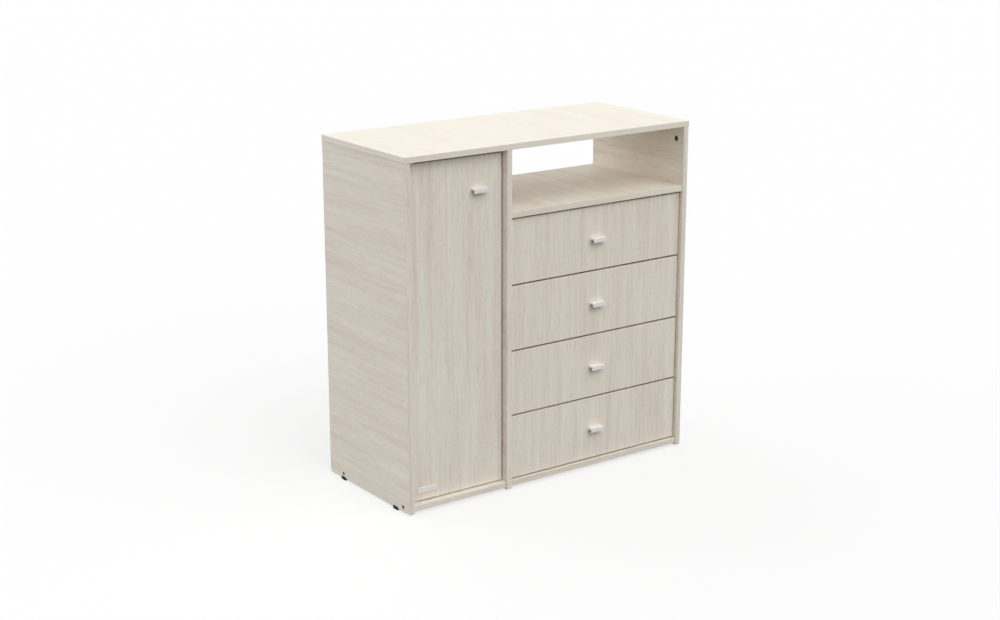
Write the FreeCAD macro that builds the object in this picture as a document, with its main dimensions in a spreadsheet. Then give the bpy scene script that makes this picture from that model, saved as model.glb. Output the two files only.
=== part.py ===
# Chifforobe: a wardrobe compartment with a door, beside a chest of four drawers under an open niche.
# Millimetres. The origin is on the floor below the middle of the whole; +Z is up, the front faces -Y.
import FreeCAD, Part
import math
import os
import Sketcher
from types import SimpleNamespace

DRAWERS = 4

# Driving dimensions, by the piece that carries them
DIMENSIONS = {
    "carcass": {
        "board": 15,
        "edge_break": 0.4,
        "carcass_width": 893,
        "side_depth": 383,
        "side_height": 891,
        "top_overhang_side": 1,
        "top_overhang_front": 1,
        "shadow_groove": 0.7,
        "shadow_groove_depth": 1,
        "wardrobe_width": 285,
        "niche_height": 159,
        "floor_rise": 5,
        "front_setback": 3,
        "back_thickness": 3,
        "back_inset": 1,
        "back_seam": 1,
    },
    "feet": {
        "foot_height": 4,
        "foot_lip": 4.4,
        "foot_lip_thickness": 1.6,
        "foot_length": 20,
        "foot_inset": 65,
        "foot_peg_radius": 2.5,
        "foot_peg": 6,
    },
    "wardrobe fittings": {
        "shelf_height": 300,
        "shelf_gap": 0.5,
        "shelf_door_gap": 14,
        "pin_radius": 2.5,
        "pin_embed": 8,
        "pin_reach": 9,
        "pin_inset": 40,
        "pin_seat": 0.1,
        "rod_radius": 12.5,
        "rod_wall": 1.2,
        "rod_drop": 60,
        "rod_end_gap": 0.5,
        "socket_radius": 24,
        "socket_flange": 3,
        "socket_collar": 2.5,
        "socket_reach": 12,
        "socket_fit": 0.15,
        "socket_screw_offset": 19.5,
    },
    "door": {
        "door_recess": 19.5,
        "door_side_gap": 3.5,
        "door_foot_gap": 3.5,
        "door_top_gap": 7.5,
        "door_handle_edge": 70.5,
        "door_handle_drop": 80,
        "plate_width": 57,
        "plate_height": 15,
        "plate_thickness": 2,
        "plate_inset": 18.5,
        "plate_rise": 19,
    },
    "door pivots": {
        "pivot_inset": 20,
        "pivot_radius": 3,
        "pivot_embed": 25,
        "pivot_end_gap": 0.4,
        "pivot_fit": 0.05,
        "pivot_thrust": 0.2,
        "pivot_collar_radius": 6,
        "bush_radius": 5,
        "bush_skin": 0.8,
        "bush_flange": 1.4,
        "bush_flange_radius": 7,
    },
    "door catch": {
        "catch_length": 46,
        "catch_thickness": 13,
        "catch_depth": 16,
        "catch_gap": 0.3,
        "catch_screw_inset": 9,
        "strike_length": 40,
        "strike_width": 11,
        "strike_thickness": 1.2,
        "strike_inset": 1.5,
        "strike_screw_inset": 8,
    },
    "handles": {
        "handle_width": 42,
        "handle_height": 11,
        "handle_projection": 15,
        "handle_top": 5,
        "handle_lip": 3,
        "handle_round": 0.6,
        "boss_radius": 3,
        "boss_length": 9,
        "boss_spacing": 30,
        "handle_screw_radius": 2,
        "handle_screw_grip": 7.5,
        "handle_screw_head_radius": 4,
        "handle_screw_head": 2.4,
    },
    "drawers": {
        "drawer_recess": 11,
        "drawer_gap": 4.3,
        "drawer_bottom_gap": 3.4,
        "drawer_top_gap": 5.2,
        "drawer_side_gap": 2,
        "drawer_length": 340,
        "drawer_side_height": 120,
        "drawer_side_rise": 12,
        "drawer_handle_rise": 1.5,
        "drawer_cam_rise": 90,
        "base_thickness": 3,
        "base_rise": 10,
        "base_groove": 6,
        "base_fit": 0.2,
        "drawer_screw_inset": 20,
    },
    "drawer rails": {
        "runner_gap": 5,
        "rail_entry": 6,
        "rail_height": 14,
        "rail_rise": 43,
        "rail_seat": 0.2,
        "rail_play": 0.6,
        "rail_side_play": 1,
        "rail_stop": 20,
        "rail_stop_gap": 0.5,
        "rail_screw_inset": 40,
    },
    "screws, nails and dowels": {
        "screw_fit": 0.1,
        "head_sink": 0.2,
        "overrun": 1,
        "confirmat_front": 30.5,
        "confirmat_back": 64,
        "confirmat_length": 48,
        "confirmat_shoulder": 16,
        "confirmat_shoulder_radius": 3.5,
        "confirmat_core_radius": 2.5,
        "confirmat_head": 3,
        "confirmat_head_radius": 4.5,
        "confirmat_hex": 4,
        "confirmat_hex_depth": 2.5,
        "screw_radius": 1.75,
        "screw_head": 2.2,
        "screw_head_radius": 3.2,
        "short_screw": 13,
        "rail_screw": 22,
        "drawer_screw": 40,
        "nail_length": 18,
        "nail_radius": 0.8,
        "nail_head": 0.8,
        "nail_head_radius": 2,
        "dowel_length": 30,
        "dowel_radius": 4,
        "dowel_embed": 10,
        "dowel_inset": 100,
    },
    "cam fittings": {
        "cam_radius": 7.5,
        "cam_height": 12.5,
        "cam_drop": 35.5,
        "cam_inset": 31,
        "cam_slot_length": 9,
        "cam_slot_width": 1.6,
        "cam_slot_depth": 2,
        "bolt_bore_radius": 4,
        "bolt_thread": 11,
        "bolt_thread_radius": 2.5,
        "bolt_neck_radius": 2,
        "bolt_head": 4,
        "bolt_head_radius": 3.4,
    },
}

# Places of the nails along the edge that they hold, as shares of its length
EDGE_NAIL_SHARES = (0.04, 0.27, 0.5, 0.73, 0.96)
RAIL_NAIL_SHARES = (0.2, 0.5, 0.8)

RIGHT = FreeCAD.Vector(1, 0, 0)
LEFT = FreeCAD.Vector(-1, 0, 0)
FRONT = FreeCAD.Vector(0, -1, 0)
UP = FreeCAD.Vector(0, 0, 1)
DOWN = FreeCAD.Vector(0, 0, -1)


class Size:
    """A length of the sheet, or one worked out from several, kept as an expression of the document."""

    def __init__(self, text):
        self.text = str(text)

    def __str__(self):
        return self.text

    def __add__(self, other):
        return Size(f"({self} + {other})")

    def __sub__(self, other):
        return Size(f"({self} - {other})")

    def __mul__(self, factor):
        return Size(f"({self} * {factor})")

    def __truediv__(self, divisor):
        return Size(f"({self} / {divisor})")

    def __neg__(self):
        return Size(f"(-{self})")


ZERO = Size(0)

doc = FreeCAD.newDocument("Chifforobe")
sheet = doc.addObject("Spreadsheet::Sheet", "Dims")

blanks = {}
bores = {}
copies = {}
nodes = {}


def fill_sheet():
    """Write every driving dimension to a cell with an alias, and return the sizes by name."""
    sizes = {}
    row = 0
    for heading, values in DIMENSIONS.items():
        row += 1
        sheet.set(f"A{row}", heading)
        for alias, value in values.items():
            row += 1
            sheet.set(f"A{row}", alias)
            sheet.set(f"B{row}", str(value))
            sheet.setAlias(f"B{row}", alias)
            sizes[alias] = Size(f"Dims.{alias}")
    doc.recompute()
    return SimpleNamespace(**sizes)


d = fill_sheet()


def bind(thing, expressions):
    """Tie properties of a document object to sizes."""
    for path, size in expressions.items():
        thing.setExpression(path, str(size))


def place(thing, at):
    """Tie the place of a document object to sizes."""
    bind(thing, dict(zip(("Placement.Base.x", "Placement.Base.y", "Placement.Base.z"), at)))


def shift(at, direction, size):
    """The point that lies a size away from another along an axis."""
    return tuple(here + size * int(step) if step else here for here, step in zip(at, direction))


def polygon(body, name, plane_role, corners):
    """A closed outline on one of the body's own planes, each corner held by two bound dimensions."""
    sketch = body.newObject("Sketcher::SketchObject", name)
    plane = next(item for item in body.Origin.OriginFeatures if item.Role == plane_role)
    sketch.AttachmentSupport = [(plane, "")]
    sketch.MapMode = "FlatFace"
    points = [FreeCAD.Vector(*(sketch.evalExpression(str(size)) for size in corner), 0)
              for corner in corners]
    for number, point in enumerate(points):
        following = points[(number + 1) % len(points)]
        sketch.addGeometry(Part.LineSegment(point, following), False)
    for number in range(len(points)):
        following = (number + 1) % len(points)
        sketch.addConstraint(Sketcher.Constraint("Coincident", number, 2, following, 1))
    for number, (corner, point) in enumerate(zip(corners, points)):
        for kind, size, start in zip(("DistanceX", "DistanceY"), corner, point):
            index = sketch.addConstraint(Sketcher.Constraint(kind, -1, 1, number, 1, start))
            constraint = f"{kind}{number}"
            sketch.renameConstraint(index, constraint)
            bind(sketch, {f"Constraints.{constraint}": size})
    return sketch


def turned(label, outline):
    """A body turned about its own Z axis from corners of (radius, height), with its tip down."""
    body = doc.addObject("PartDesign::Body", label)
    sketch = polygon(body, f"{label}_outline", "XZ_Plane", outline)
    turn = body.newObject("PartDesign::Revolution", f"{label}_turn")
    turn.Profile = sketch
    turn.ReferenceAxis = (sketch, ["V_Axis"])
    return body


def extruded(label, plane_role, outline, length):
    """A body of one section, drawn out to both sides of the section's plane."""
    body = doc.addObject("PartDesign::Body", label)
    sketch = polygon(body, f"{label}_section", plane_role, outline)
    pad = body.newObject("PartDesign::Pad", f"{label}_pad")
    pad.Profile = sketch
    pad.SideType = "Symmetric"
    bind(pad, {"Length": length})
    doc.recompute()
    return body


def cylinder(body, kind, name, at, direction, radius, height):
    """A cylinder added to a body, or taken from it, that starts at a point and runs along an axis."""
    feature = body.newObject(f"PartDesign::{kind}Cylinder", name)
    feature.Placement = FreeCAD.Placement(FreeCAD.Vector(), FreeCAD.Rotation(UP, direction))
    place(feature, at)
    bind(feature, {"Radius": radius, "Height": height})
    return feature


def board(label, corner, extent):
    """A sawn board with broken edges, from its low corner, kept as a blank until it is drilled."""
    body = doc.addObject("PartDesign::Body", f"{label}_blank")
    box = body.newObject("PartDesign::AdditiveBox", f"{label}_box")
    bind(box, dict(zip(("Length", "Width", "Height"), extent)))
    doc.recompute()
    edges = body.newObject("PartDesign::Chamfer", f"{label}_edges")
    edges.Base = (box, [""])
    edges.UseAllEdges = True
    bind(edges, {"Size": d.edge_break})
    place(body, corner)
    blanks[label] = body


def groove(label, corner, extent):
    """A straight groove to be cut in a board."""
    tool = doc.addObject("Part::Box", f"{label}_groove")
    bind(tool, dict(zip(("Length", "Width", "Height"), extent)))
    place(tool, corner)
    bores.setdefault(label, []).append(tool)


def copy(master, at, rotation):
    """A linked copy of a master, turned and put at a point."""
    link = doc.addObject("App::Link", f"{master.Label}_copy")
    link.LinkedObject = master
    link.Placement = FreeCAD.Placement(FreeCAD.Vector(), rotation)
    place(link, at)
    return link


def fasten(group, kind, at, direction, drilled=()):
    """Add a fastener to a group, pointing along an axis, and drill what it passes through."""
    rotation = FreeCAD.Rotation(DOWN, direction)
    copies.setdefault(group, []).append(copy(kind.master, at, rotation))
    drill(kind.drill, at, rotation, drilled)


def drill(tool, at, rotation, drilled):
    """Drill one hole in each of the pieces that it passes through."""
    hole = copy(tool, at, rotation) if drilled else None
    for label in drilled:
        bores.setdefault(label, []).append(hole)


def finished(label, result):
    """The blank of that label with its holes and grooves cut, under the name of its node or solid."""
    tools = bores.get(label, [])
    blank = blanks[label]
    if not tools:
        blank.Label = result
        return blank
    tool = tools[0]
    if len(tools) > 1:
        tool = doc.addObject("Part::Compound", f"{label}_bores")
        tool.Links = tools
    cut = doc.addObject("Part::Cut", result)
    cut.Base = blank
    cut.Tool = tool
    return cut


def group_node(name, solids):
    """One node that holds several separate solids of a kind."""
    compound = doc.addObject("Part::Compound", name)
    compound.Links = solids
    nodes[name] = compound


# Planes and lines that several pieces share
left_outer = -d.carcass_width / 2
left_inner = left_outer + d.board
divider_left = left_inner + d.wardrobe_width
divider_right = divider_left + d.board
right_outer = d.carcass_width / 2
right_inner = right_outer - d.board
chest_width = right_inner - divider_right

handle_reach = d.handle_projection - d.drawer_recess
whole_depth = handle_reach + d.side_depth + d.back_thickness
front = handle_reach - whole_depth / 2
rear = front + d.side_depth
top_front = front - d.top_overhang_front
top_depth = d.top_overhang_front + d.side_depth + d.back_thickness

side_bottom = d.foot_height
floor_under = side_bottom + d.floor_rise
floor_top = floor_under + d.board
top_under = side_bottom + d.side_height
niche_floor = top_under - d.niche_height
niche_under = niche_floor - d.board

door_front = front + d.door_recess
door_rear = door_front + d.board
door_left = left_inner + d.door_side_gap
door_right = divider_left - d.door_side_gap
door_bottom = floor_top + d.door_foot_gap
door_top = top_under - d.door_top_gap
pivot_x = left_inner + d.pivot_inset
pivot_y = door_front + d.board / 2
bush_depth = d.board / 2 - d.confirmat_core_radius - d.screw_fit * 2 - d.bush_skin

boss_drop = d.handle_top + d.boss_radius - d.handle_round

drawer_face = front + d.drawer_recess
drawer_rear_face = drawer_face + d.board
drawer_room = niche_under - floor_top - d.drawer_bottom_gap - d.drawer_top_gap
drawer_front_height = (drawer_room - d.drawer_gap * (DRAWERS - 1)) / DRAWERS


def screw_kind(label, length):
    """A countersunk wood screw, and the hole that it sits in."""
    shank = d.screw_radius
    hole = d.screw_radius + d.screw_fit
    head_hole = d.screw_head_radius + d.screw_fit
    deep = length + d.screw_fit
    point = length - d.screw_radius * 2
    master = turned(label, [
        (ZERO, ZERO), (d.screw_head_radius, ZERO), (shank, -d.screw_head), (shank, -point),
        (ZERO, -length)])
    tool = turned(f"{label}_drill", [
        (ZERO, d.overrun), (head_hole, d.overrun), (head_hole, ZERO), (hole, -d.screw_head),
        (hole, -deep), (ZERO, -deep)])
    return SimpleNamespace(master=master, drill=tool)


def confirmat_kind():
    """A stepped joining screw with a hexagon socket, and its stepped hole."""
    shoulder = d.confirmat_shoulder_radius
    core = d.confirmat_core_radius
    point = d.confirmat_length - d.confirmat_core_radius
    master = turned("confirmat", [
        (ZERO, ZERO), (d.confirmat_head_radius, ZERO), (shoulder, -d.confirmat_head),
        (shoulder, -d.confirmat_shoulder), (core, -d.confirmat_shoulder), (core, -point),
        (ZERO, -d.confirmat_length)])
    doc.recompute()
    solid_volume = master.Shape.Volume
    hexagon_radius = d.confirmat_hex / math.sqrt(3)
    turns = [math.radians(60 * number) for number in range(6)]
    hexagon = [(hexagon_radius * round(math.cos(turn), 9), hexagon_radius * round(math.sin(turn), 9))
               for turn in turns]
    socket = master.newObject("PartDesign::Pocket", "confirmat_socket")
    socket.Profile = polygon(master, "confirmat_hexagon", "XY_Plane", hexagon)
    bind(socket, {"Length": d.confirmat_hex_depth})
    doc.recompute()
    if master.Shape.Volume >= solid_volume:
        raise RuntimeError("the hexagon socket cuts nothing")
    wide = d.confirmat_shoulder_radius + d.screw_fit
    slim = d.confirmat_core_radius + d.screw_fit
    head_hole = d.confirmat_head_radius + d.screw_fit
    deep = d.confirmat_length + d.screw_fit
    tool = turned("confirmat_drill", [
        (ZERO, d.overrun), (head_hole, d.overrun), (head_hole, ZERO), (wide, -d.confirmat_head),
        (wide, -d.confirmat_shoulder), (slim, -d.confirmat_shoulder), (slim, -deep), (ZERO, -deep)])
    return SimpleNamespace(master=master, drill=tool)


def nail_kind():
    """A flat-headed nail that lies flush with the back, and its hole."""
    point = d.nail_length - d.nail_radius * 2
    deep = d.nail_length + d.screw_fit
    hole = d.nail_radius + d.screw_fit
    head_hole = d.nail_head_radius + d.screw_fit
    master = turned("nail", [
        (ZERO, ZERO), (d.nail_head_radius, ZERO), (d.nail_head_radius, -d.nail_head),
        (d.nail_radius, -d.nail_head), (d.nail_radius, -point), (ZERO, -d.nail_length)])
    tool = turned("nail_drill", [
        (ZERO, d.overrun), (head_hole, d.overrun), (head_hole, -d.nail_head), (hole, -d.nail_head),
        (hole, -deep), (ZERO, -deep)])
    return SimpleNamespace(master=master, drill=tool)


def handle_screw_kind():
    """A pan-headed screw through a front into a handle, and its hole."""
    reach = d.board + d.handle_screw_grip
    hole = d.handle_screw_radius + d.screw_fit
    master = turned("handle_screw", [
        (ZERO, d.handle_screw_head), (d.handle_screw_head_radius, d.handle_screw_head),
        (d.handle_screw_head_radius, ZERO), (d.handle_screw_radius, ZERO),
        (d.handle_screw_radius, -reach), (ZERO, -reach)])
    deep = reach + d.screw_fit
    tool = turned("handle_screw_drill", [
        (ZERO, d.overrun), (hole, d.overrun), (hole, -deep), (ZERO, -deep)])
    return SimpleNamespace(master=master, drill=tool)


def peg_kind(label, radius, outside, inside):
    """A plain round peg that stands out of a face by one length and sits in it by another."""
    hole = radius + d.screw_fit
    deep = inside + d.screw_fit
    master = turned(label, [(ZERO, outside), (radius, outside), (radius, -inside), (ZERO, -inside)])
    tool = turned(f"{label}_drill", [
        (ZERO, outside + d.screw_fit), (hole, outside + d.screw_fit), (hole, -deep), (ZERO, -deep)])
    return SimpleNamespace(master=master, drill=tool)


def pivot_pin_kind(label, gap):
    """A steel pin set in the door's end, with a collar that bridges the gap to the bush, and its hole."""
    radius = d.pivot_radius
    collar = gap - d.bush_flange - d.pivot_thrust
    tip = gap + bush_depth - d.pivot_end_gap
    hole = d.pivot_radius + d.screw_fit
    deep = d.pivot_embed + d.screw_fit
    master = turned(label, [
        (ZERO, d.pivot_embed), (radius, d.pivot_embed), (radius, ZERO), (d.pivot_collar_radius, ZERO),
        (d.pivot_collar_radius, -collar), (radius, -collar), (radius, -tip), (ZERO, -tip)])
    tool = turned(f"{label}_drill", [(ZERO, deep), (hole, deep), (hole, -d.overrun), (ZERO, -d.overrun)])
    return SimpleNamespace(master=master, drill=tool)


def bush_kind():
    """A flanged plain bearing for a pivot pin, and the hole that it is pressed into."""
    bore = d.pivot_radius + d.pivot_fit
    hole = d.bush_radius + d.screw_fit
    deep = bush_depth + d.screw_fit
    master = turned("pivot_bush", [
        (bore, d.bush_flange), (d.bush_flange_radius, d.bush_flange), (d.bush_flange_radius, ZERO),
        (d.bush_radius, ZERO), (d.bush_radius, -bush_depth), (bore, -bush_depth)])
    tool = turned("pivot_bush_drill", [(ZERO, d.overrun), (hole, d.overrun), (hole, -deep), (ZERO, -deep)])
    return SimpleNamespace(master=master, drill=tool)


def cam_kinds():
    """A cam lock with its bolt, and the one drill that makes room for both.

    The cam lies along -Z under the board's face; its bolt runs along +X to the board that it draws up.
    """
    lock = doc.addObject("PartDesign::Body", "cam_lock")
    low = -(d.head_sink + d.cam_height)
    cylinder(lock, "Additive", "cam_disc", (ZERO, ZERO, low), UP, d.cam_radius, d.cam_height)
    axis_depth = -d.board / 2
    cavity_start = -(d.bolt_head / 2 + d.screw_fit)
    cavity_length = d.cam_radius + d.overrun - cavity_start
    cylinder(lock, "Subtractive", "cam_cavity", (cavity_start, ZERO, axis_depth), RIGHT,
             d.bolt_bore_radius, cavity_length)
    slot_low = -(d.head_sink + d.cam_slot_depth)
    slot_deep = d.cam_slot_depth + d.overrun
    for long_side, short_side, name in (("Length", "Width", "x"), ("Width", "Length", "y")):
        slot = lock.newObject("PartDesign::SubtractiveBox", f"cam_slot_{name}")
        bind(slot, {long_side: d.cam_slot_length, short_side: d.cam_slot_width, "Height": slot_deep})
        halves = (-d.cam_slot_length / 2, -d.cam_slot_width / 2)
        start = halves if name == "x" else halves[::-1]
        place(slot, (*start, slot_low))

    shank = d.cam_drop - d.bolt_head / 2
    end = d.cam_drop + d.bolt_head / 2
    bolt = turned("cam_bolt", [
        (ZERO, end), (d.bolt_head_radius, end), (d.bolt_head_radius, shank), (d.bolt_neck_radius, shank),
        (d.bolt_neck_radius, ZERO), (d.bolt_thread_radius, ZERO), (d.bolt_thread_radius, -d.bolt_thread),
        (ZERO, -d.bolt_thread)])

    tool = doc.addObject("PartDesign::Body", "cam_drill")
    bore_low = low - d.screw_fit
    cylinder(tool, "Additive", "cam_bore", (ZERO, ZERO, bore_low), UP,
             d.cam_radius + d.screw_fit, d.overrun - bore_low)
    cylinder(tool, "Additive", "bolt_bore", (ZERO, ZERO, axis_depth), RIGHT, d.bolt_bore_radius, d.cam_drop)
    cylinder(tool, "Additive", "thread_bore", (ZERO, ZERO, axis_depth), RIGHT,
             d.bolt_thread_radius + d.screw_fit, d.cam_drop + d.bolt_thread + d.screw_fit)
    return SimpleNamespace(lock=lock, bolt=bolt, drill=tool)


short_screw = screw_kind("short_screw", d.short_screw)
rail_screw = screw_kind("rail_screw", d.rail_screw)
drawer_screw = screw_kind("drawer_screw", d.drawer_screw)
confirmat = confirmat_kind()
nail = nail_kind()
handle_screw = handle_screw_kind()
shelf_pin = peg_kind("shelf_pin", d.pin_radius, d.pin_reach, d.pin_embed)
dowel = peg_kind("dowel", d.dowel_radius, d.dowel_length - d.dowel_embed, d.dowel_embed)
lower_pivot = pivot_pin_kind("lower_pivot", d.door_foot_gap)
upper_pivot = pivot_pin_kind("upper_pivot", d.door_top_gap)
pivot_bush = bush_kind()
cam = cam_kinds()


def cam_joint(lock_group, bolt_group, at, into, toward, board_label, mate_label):
    """Draw a board up to another with a cam in its face and a bolt in the other board."""
    rotation = FreeCAD.Rotation(toward, (-into).cross(toward), -into, "ZXY")
    copies.setdefault(lock_group, []).append(copy(cam.lock, at, rotation))
    thread = shift(shift(at, into, d.board / 2), toward, d.cam_drop)
    copies.setdefault(bolt_group, []).append(copy(cam.bolt, thread, FreeCAD.Rotation(DOWN, toward)))
    drill(cam.drill, at, rotation, (board_label, mate_label))


def carcass_boards():
    """The top, the sides, the divider, the floors, the niche's shelf and the two backs."""
    upright = (d.board, d.side_depth, d.side_height)
    board("top_panel", (left_outer - d.top_overhang_side, top_front, top_under),
          (d.carcass_width + d.top_overhang_side * 2, top_depth, d.board))
    board("left_side_panel", (left_outer, front, side_bottom), upright)
    board("centre_divider", (divider_left, front, side_bottom), upright)
    board("right_side_panel", (right_inner, front, side_bottom), upright)
    sunk = d.shadow_groove_depth
    for label, x in (("left_side_panel", left_outer - d.overrun), ("right_side_panel", right_outer - sunk)):
        groove(label, (x, front - d.overrun, top_under - d.shadow_groove),
               (sunk + d.overrun, d.side_depth + d.overrun * 2, d.shadow_groove + d.overrun))

    inner_front = front + d.front_setback
    inner_depth = d.side_depth - d.front_setback
    board("wardrobe_floor", (left_inner, inner_front, floor_under),
          (d.wardrobe_width, inner_depth, d.board))
    board("chest_floor", (divider_right, inner_front, floor_under), (chest_width, inner_depth, d.board))
    board("niche_shelf", (divider_right, inner_front, niche_under), (chest_width, inner_depth, d.board))

    seam = divider_left + d.board / 2
    back_left = left_outer + d.back_inset
    wardrobe_back_width = seam - d.back_seam / 2 - back_left
    board("wardrobe_back", (back_left, rear, floor_under),
          (wardrobe_back_width, d.back_thickness, top_under - d.back_inset - floor_under))
    chest_back_left = seam + d.back_seam / 2
    board("chest_back", (chest_back_left, rear, floor_under),
          (right_outer - d.back_inset - chest_back_left, d.back_thickness,
           niche_floor - d.back_inset - floor_under))


def carcass_joints():
    """Screws, dowels and cams that hold the boards together."""
    floor_middle = floor_under + d.board / 2
    shelf_middle = niche_under + d.board / 2
    for y in (front + d.confirmat_front, rear - d.confirmat_back):
        for face, direction, z, boards in (
            (left_outer, RIGHT, floor_middle, ("left_side_panel", "wardrobe_floor")),
            (divider_right, LEFT, floor_middle, ("centre_divider", "wardrobe_floor")),
            (right_outer, LEFT, floor_middle, ("right_side_panel", "chest_floor")),
            (right_outer, LEFT, shelf_middle, ("right_side_panel", "niche_shelf")),
            (divider_left, RIGHT, shelf_middle, ("centre_divider", "niche_shelf")),
        ):
            head = shift((face, y, z), direction, d.head_sink)
            fasten("confirmat_screws", confirmat, head, direction, boards)

    for y in (front + d.dowel_inset, rear - d.dowel_inset):
        fasten("dowels", dowel, (divider_right, y, floor_middle), LEFT, ("centre_divider", "chest_floor"))

    for y in (front + d.cam_inset, rear - d.cam_inset):
        for face, into, label in (
            (left_inner, LEFT, "left_side_panel"),
            (divider_left, RIGHT, "centre_divider"),
            (right_inner, RIGHT, "right_side_panel"),
        ):
            at = (face, y, top_under - d.cam_drop)
            cam_joint("cam_locks", "cam_bolts", at, into, UP, label, "top_panel")


def back_nails():
    """Nails through the backs into the edges behind which they lie."""
    nail_y = rear + d.back_thickness
    wardrobe_back_height = top_under - d.back_inset - floor_under
    chest_back_height = niche_floor - d.back_inset - floor_under
    uprights = (
        (left_outer + d.board / 2, wardrobe_back_height, "wardrobe_back", "left_side_panel"),
        (divider_left + d.board / 4, wardrobe_back_height, "wardrobe_back", "centre_divider"),
        (divider_right - d.board / 4, chest_back_height, "chest_back", "centre_divider"),
        (right_outer - d.board / 2, chest_back_height, "chest_back", "right_side_panel"),
    )
    for x, height, back, label in uprights:
        for share in EDGE_NAIL_SHARES:
            fasten("back_nails", nail, (x, nail_y, floor_under + height * share), FRONT, (back, label))

    levels = (
        (left_inner, d.wardrobe_width, floor_under, "wardrobe_back", "wardrobe_floor"),
        (divider_right, chest_width, floor_under, "chest_back", "chest_floor"),
        (divider_right, chest_width, niche_under, "chest_back", "niche_shelf"),
    )
    for start, width, under, back, label in levels:
        for share in RAIL_NAIL_SHARES:
            at = (start + width * share, nail_y, under + d.board / 2)
            fasten("back_nails", nail, at, FRONT, (back, label))


def feet():
    """Glides under the sides and the divider, with a lip against the outer face and a peg in the edge."""
    section = [
        (-d.foot_lip_thickness, -d.foot_height), (d.board, -d.foot_height), (d.board, ZERO), (ZERO, ZERO),
        (ZERO, d.foot_lip), (-d.foot_lip_thickness, d.foot_lip)]
    foot = extruded("foot", "XZ_Plane", section, d.foot_length)
    cylinder(foot, "Additive", "foot_pin", (d.board / 2, ZERO, ZERO), UP, d.foot_peg_radius, d.foot_peg)
    peg_hole = d.foot_peg_radius + d.screw_fit
    peg_deep = d.foot_peg + d.screw_fit
    peg_drill = turned("foot_peg_drill", [
        (ZERO, d.overrun), (peg_hole, d.overrun), (peg_hole, -peg_deep), (ZERO, -peg_deep)])
    as_drawn = FreeCAD.Rotation()
    turned_round = FreeCAD.Rotation(UP, 180)
    upright_pegs = FreeCAD.Rotation(DOWN, UP)
    for y in (front + d.foot_inset, rear - d.foot_inset):
        for face, rotation, inward, label in (
            (left_outer, as_drawn, RIGHT, "left_side_panel"),
            (divider_left, as_drawn, RIGHT, "centre_divider"),
            (right_outer, turned_round, LEFT, "right_side_panel"),
        ):
            corner = (face, y, side_bottom)
            copies.setdefault("feet", []).append(copy(foot, corner, rotation))
            drill(peg_drill, shift(corner, inward, d.board / 2), upright_pegs, (label,))


def wardrobe_fittings():
    """The shelf on its pins and the rod in its sockets."""
    shelf_front = door_rear + d.shelf_door_gap
    shelf_depth = rear - shelf_front
    shelf_under = floor_top + d.shelf_height
    board("wardrobe_shelf", (left_inner + d.shelf_gap, shelf_front, shelf_under),
          (d.wardrobe_width - d.shelf_gap * 2, shelf_depth, d.board))
    pin_z = shelf_under - d.pin_seat - d.pin_radius
    for y in (shelf_front + d.pin_inset, rear - d.pin_inset):
        fasten("shelf_pins", shelf_pin, (left_inner, y, pin_z), LEFT, ("left_side_panel",))
        fasten("shelf_pins", shelf_pin, (divider_left, y, pin_z), RIGHT, ("centre_divider",))

    rod_y = (door_rear + rear) / 2
    rod_z = top_under - d.rod_drop
    rod_inner = d.rod_radius - d.rod_wall
    rod_length = d.wardrobe_width - (d.socket_flange + d.rod_end_gap) * 2
    rod = turned("hanging_rod", [
        (rod_inner, ZERO), (d.rod_radius, ZERO), (d.rod_radius, -rod_length), (rod_inner, -rod_length)])
    rod.Placement = FreeCAD.Placement(FreeCAD.Vector(), FreeCAD.Rotation(DOWN, RIGHT))
    place(rod, (left_inner + d.socket_flange + d.rod_end_gap, rod_y, rod_z))
    nodes["hanging_rod"] = rod

    collar_bore = d.rod_radius + d.socket_fit
    collar = collar_bore + d.socket_collar
    solids = []
    for side, face, direction, label in (
        ("left", left_inner, RIGHT, "left_side_panel"),
        ("right", divider_left, LEFT, "centre_divider"),
    ):
        piece = f"{side}_socket"
        socket = turned(piece, [
            (ZERO, ZERO), (d.socket_radius, ZERO), (d.socket_radius, -d.socket_flange),
            (collar, -d.socket_flange), (collar, -d.socket_reach), (collar_bore, -d.socket_reach),
            (collar_bore, -d.socket_flange), (ZERO, -d.socket_flange)])
        socket.Placement = FreeCAD.Placement(FreeCAD.Vector(), FreeCAD.Rotation(DOWN, direction))
        place(socket, (face, rod_y, rod_z))
        blanks[piece] = socket
        for sign in (UP, DOWN):
            centre = shift((face, rod_y, rod_z), sign, d.socket_screw_offset)
            head = shift(centre, direction, d.socket_flange - d.head_sink)
            fasten("socket_screws", short_screw, head, -direction, (piece, label))
        solids.append(finished(piece, f"rod_socket_{side}"))
    group_node("rod_sockets", solids)


def handle(label, at):
    """A short pull, a thick top and a lip that hangs from it; at is the middle of its top on the front."""
    depth = d.handle_projection
    lip = d.handle_projection - d.handle_lip
    section = [
        (ZERO, ZERO), (ZERO, -d.handle_top), (-lip, -d.handle_top), (-lip, -d.handle_height),
        (-depth, -d.handle_height), (-depth, ZERO)]
    body = extruded(f"{label}_blank", "YZ_Plane", section, d.handle_width)
    rounds = body.newObject("PartDesign::Fillet", f"{label}_rounds")
    rounds.Base = (body.Group[-2], [""])
    rounds.UseAllEdges = True
    bind(rounds, {"Radius": d.handle_round})
    for number, sign in enumerate((LEFT, RIGHT)):
        root = shift((ZERO, ZERO, -boss_drop), sign, d.boss_spacing / 2)
        cylinder(body, "Additive", f"{label}_boss_{number}", root, FRONT, d.boss_radius, d.boss_length)
    place(body, at)
    blanks[label] = body


def handle_screws(group, handle_label, front_label, at):
    """Two screws from behind a front into the bosses of its handle."""
    for sign in (LEFT, RIGHT):
        x, y, z = shift(at, sign, d.boss_spacing / 2)
        fasten(group, handle_screw, (x, y + d.board, z - boss_drop), FRONT, (front_label, handle_label))


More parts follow.
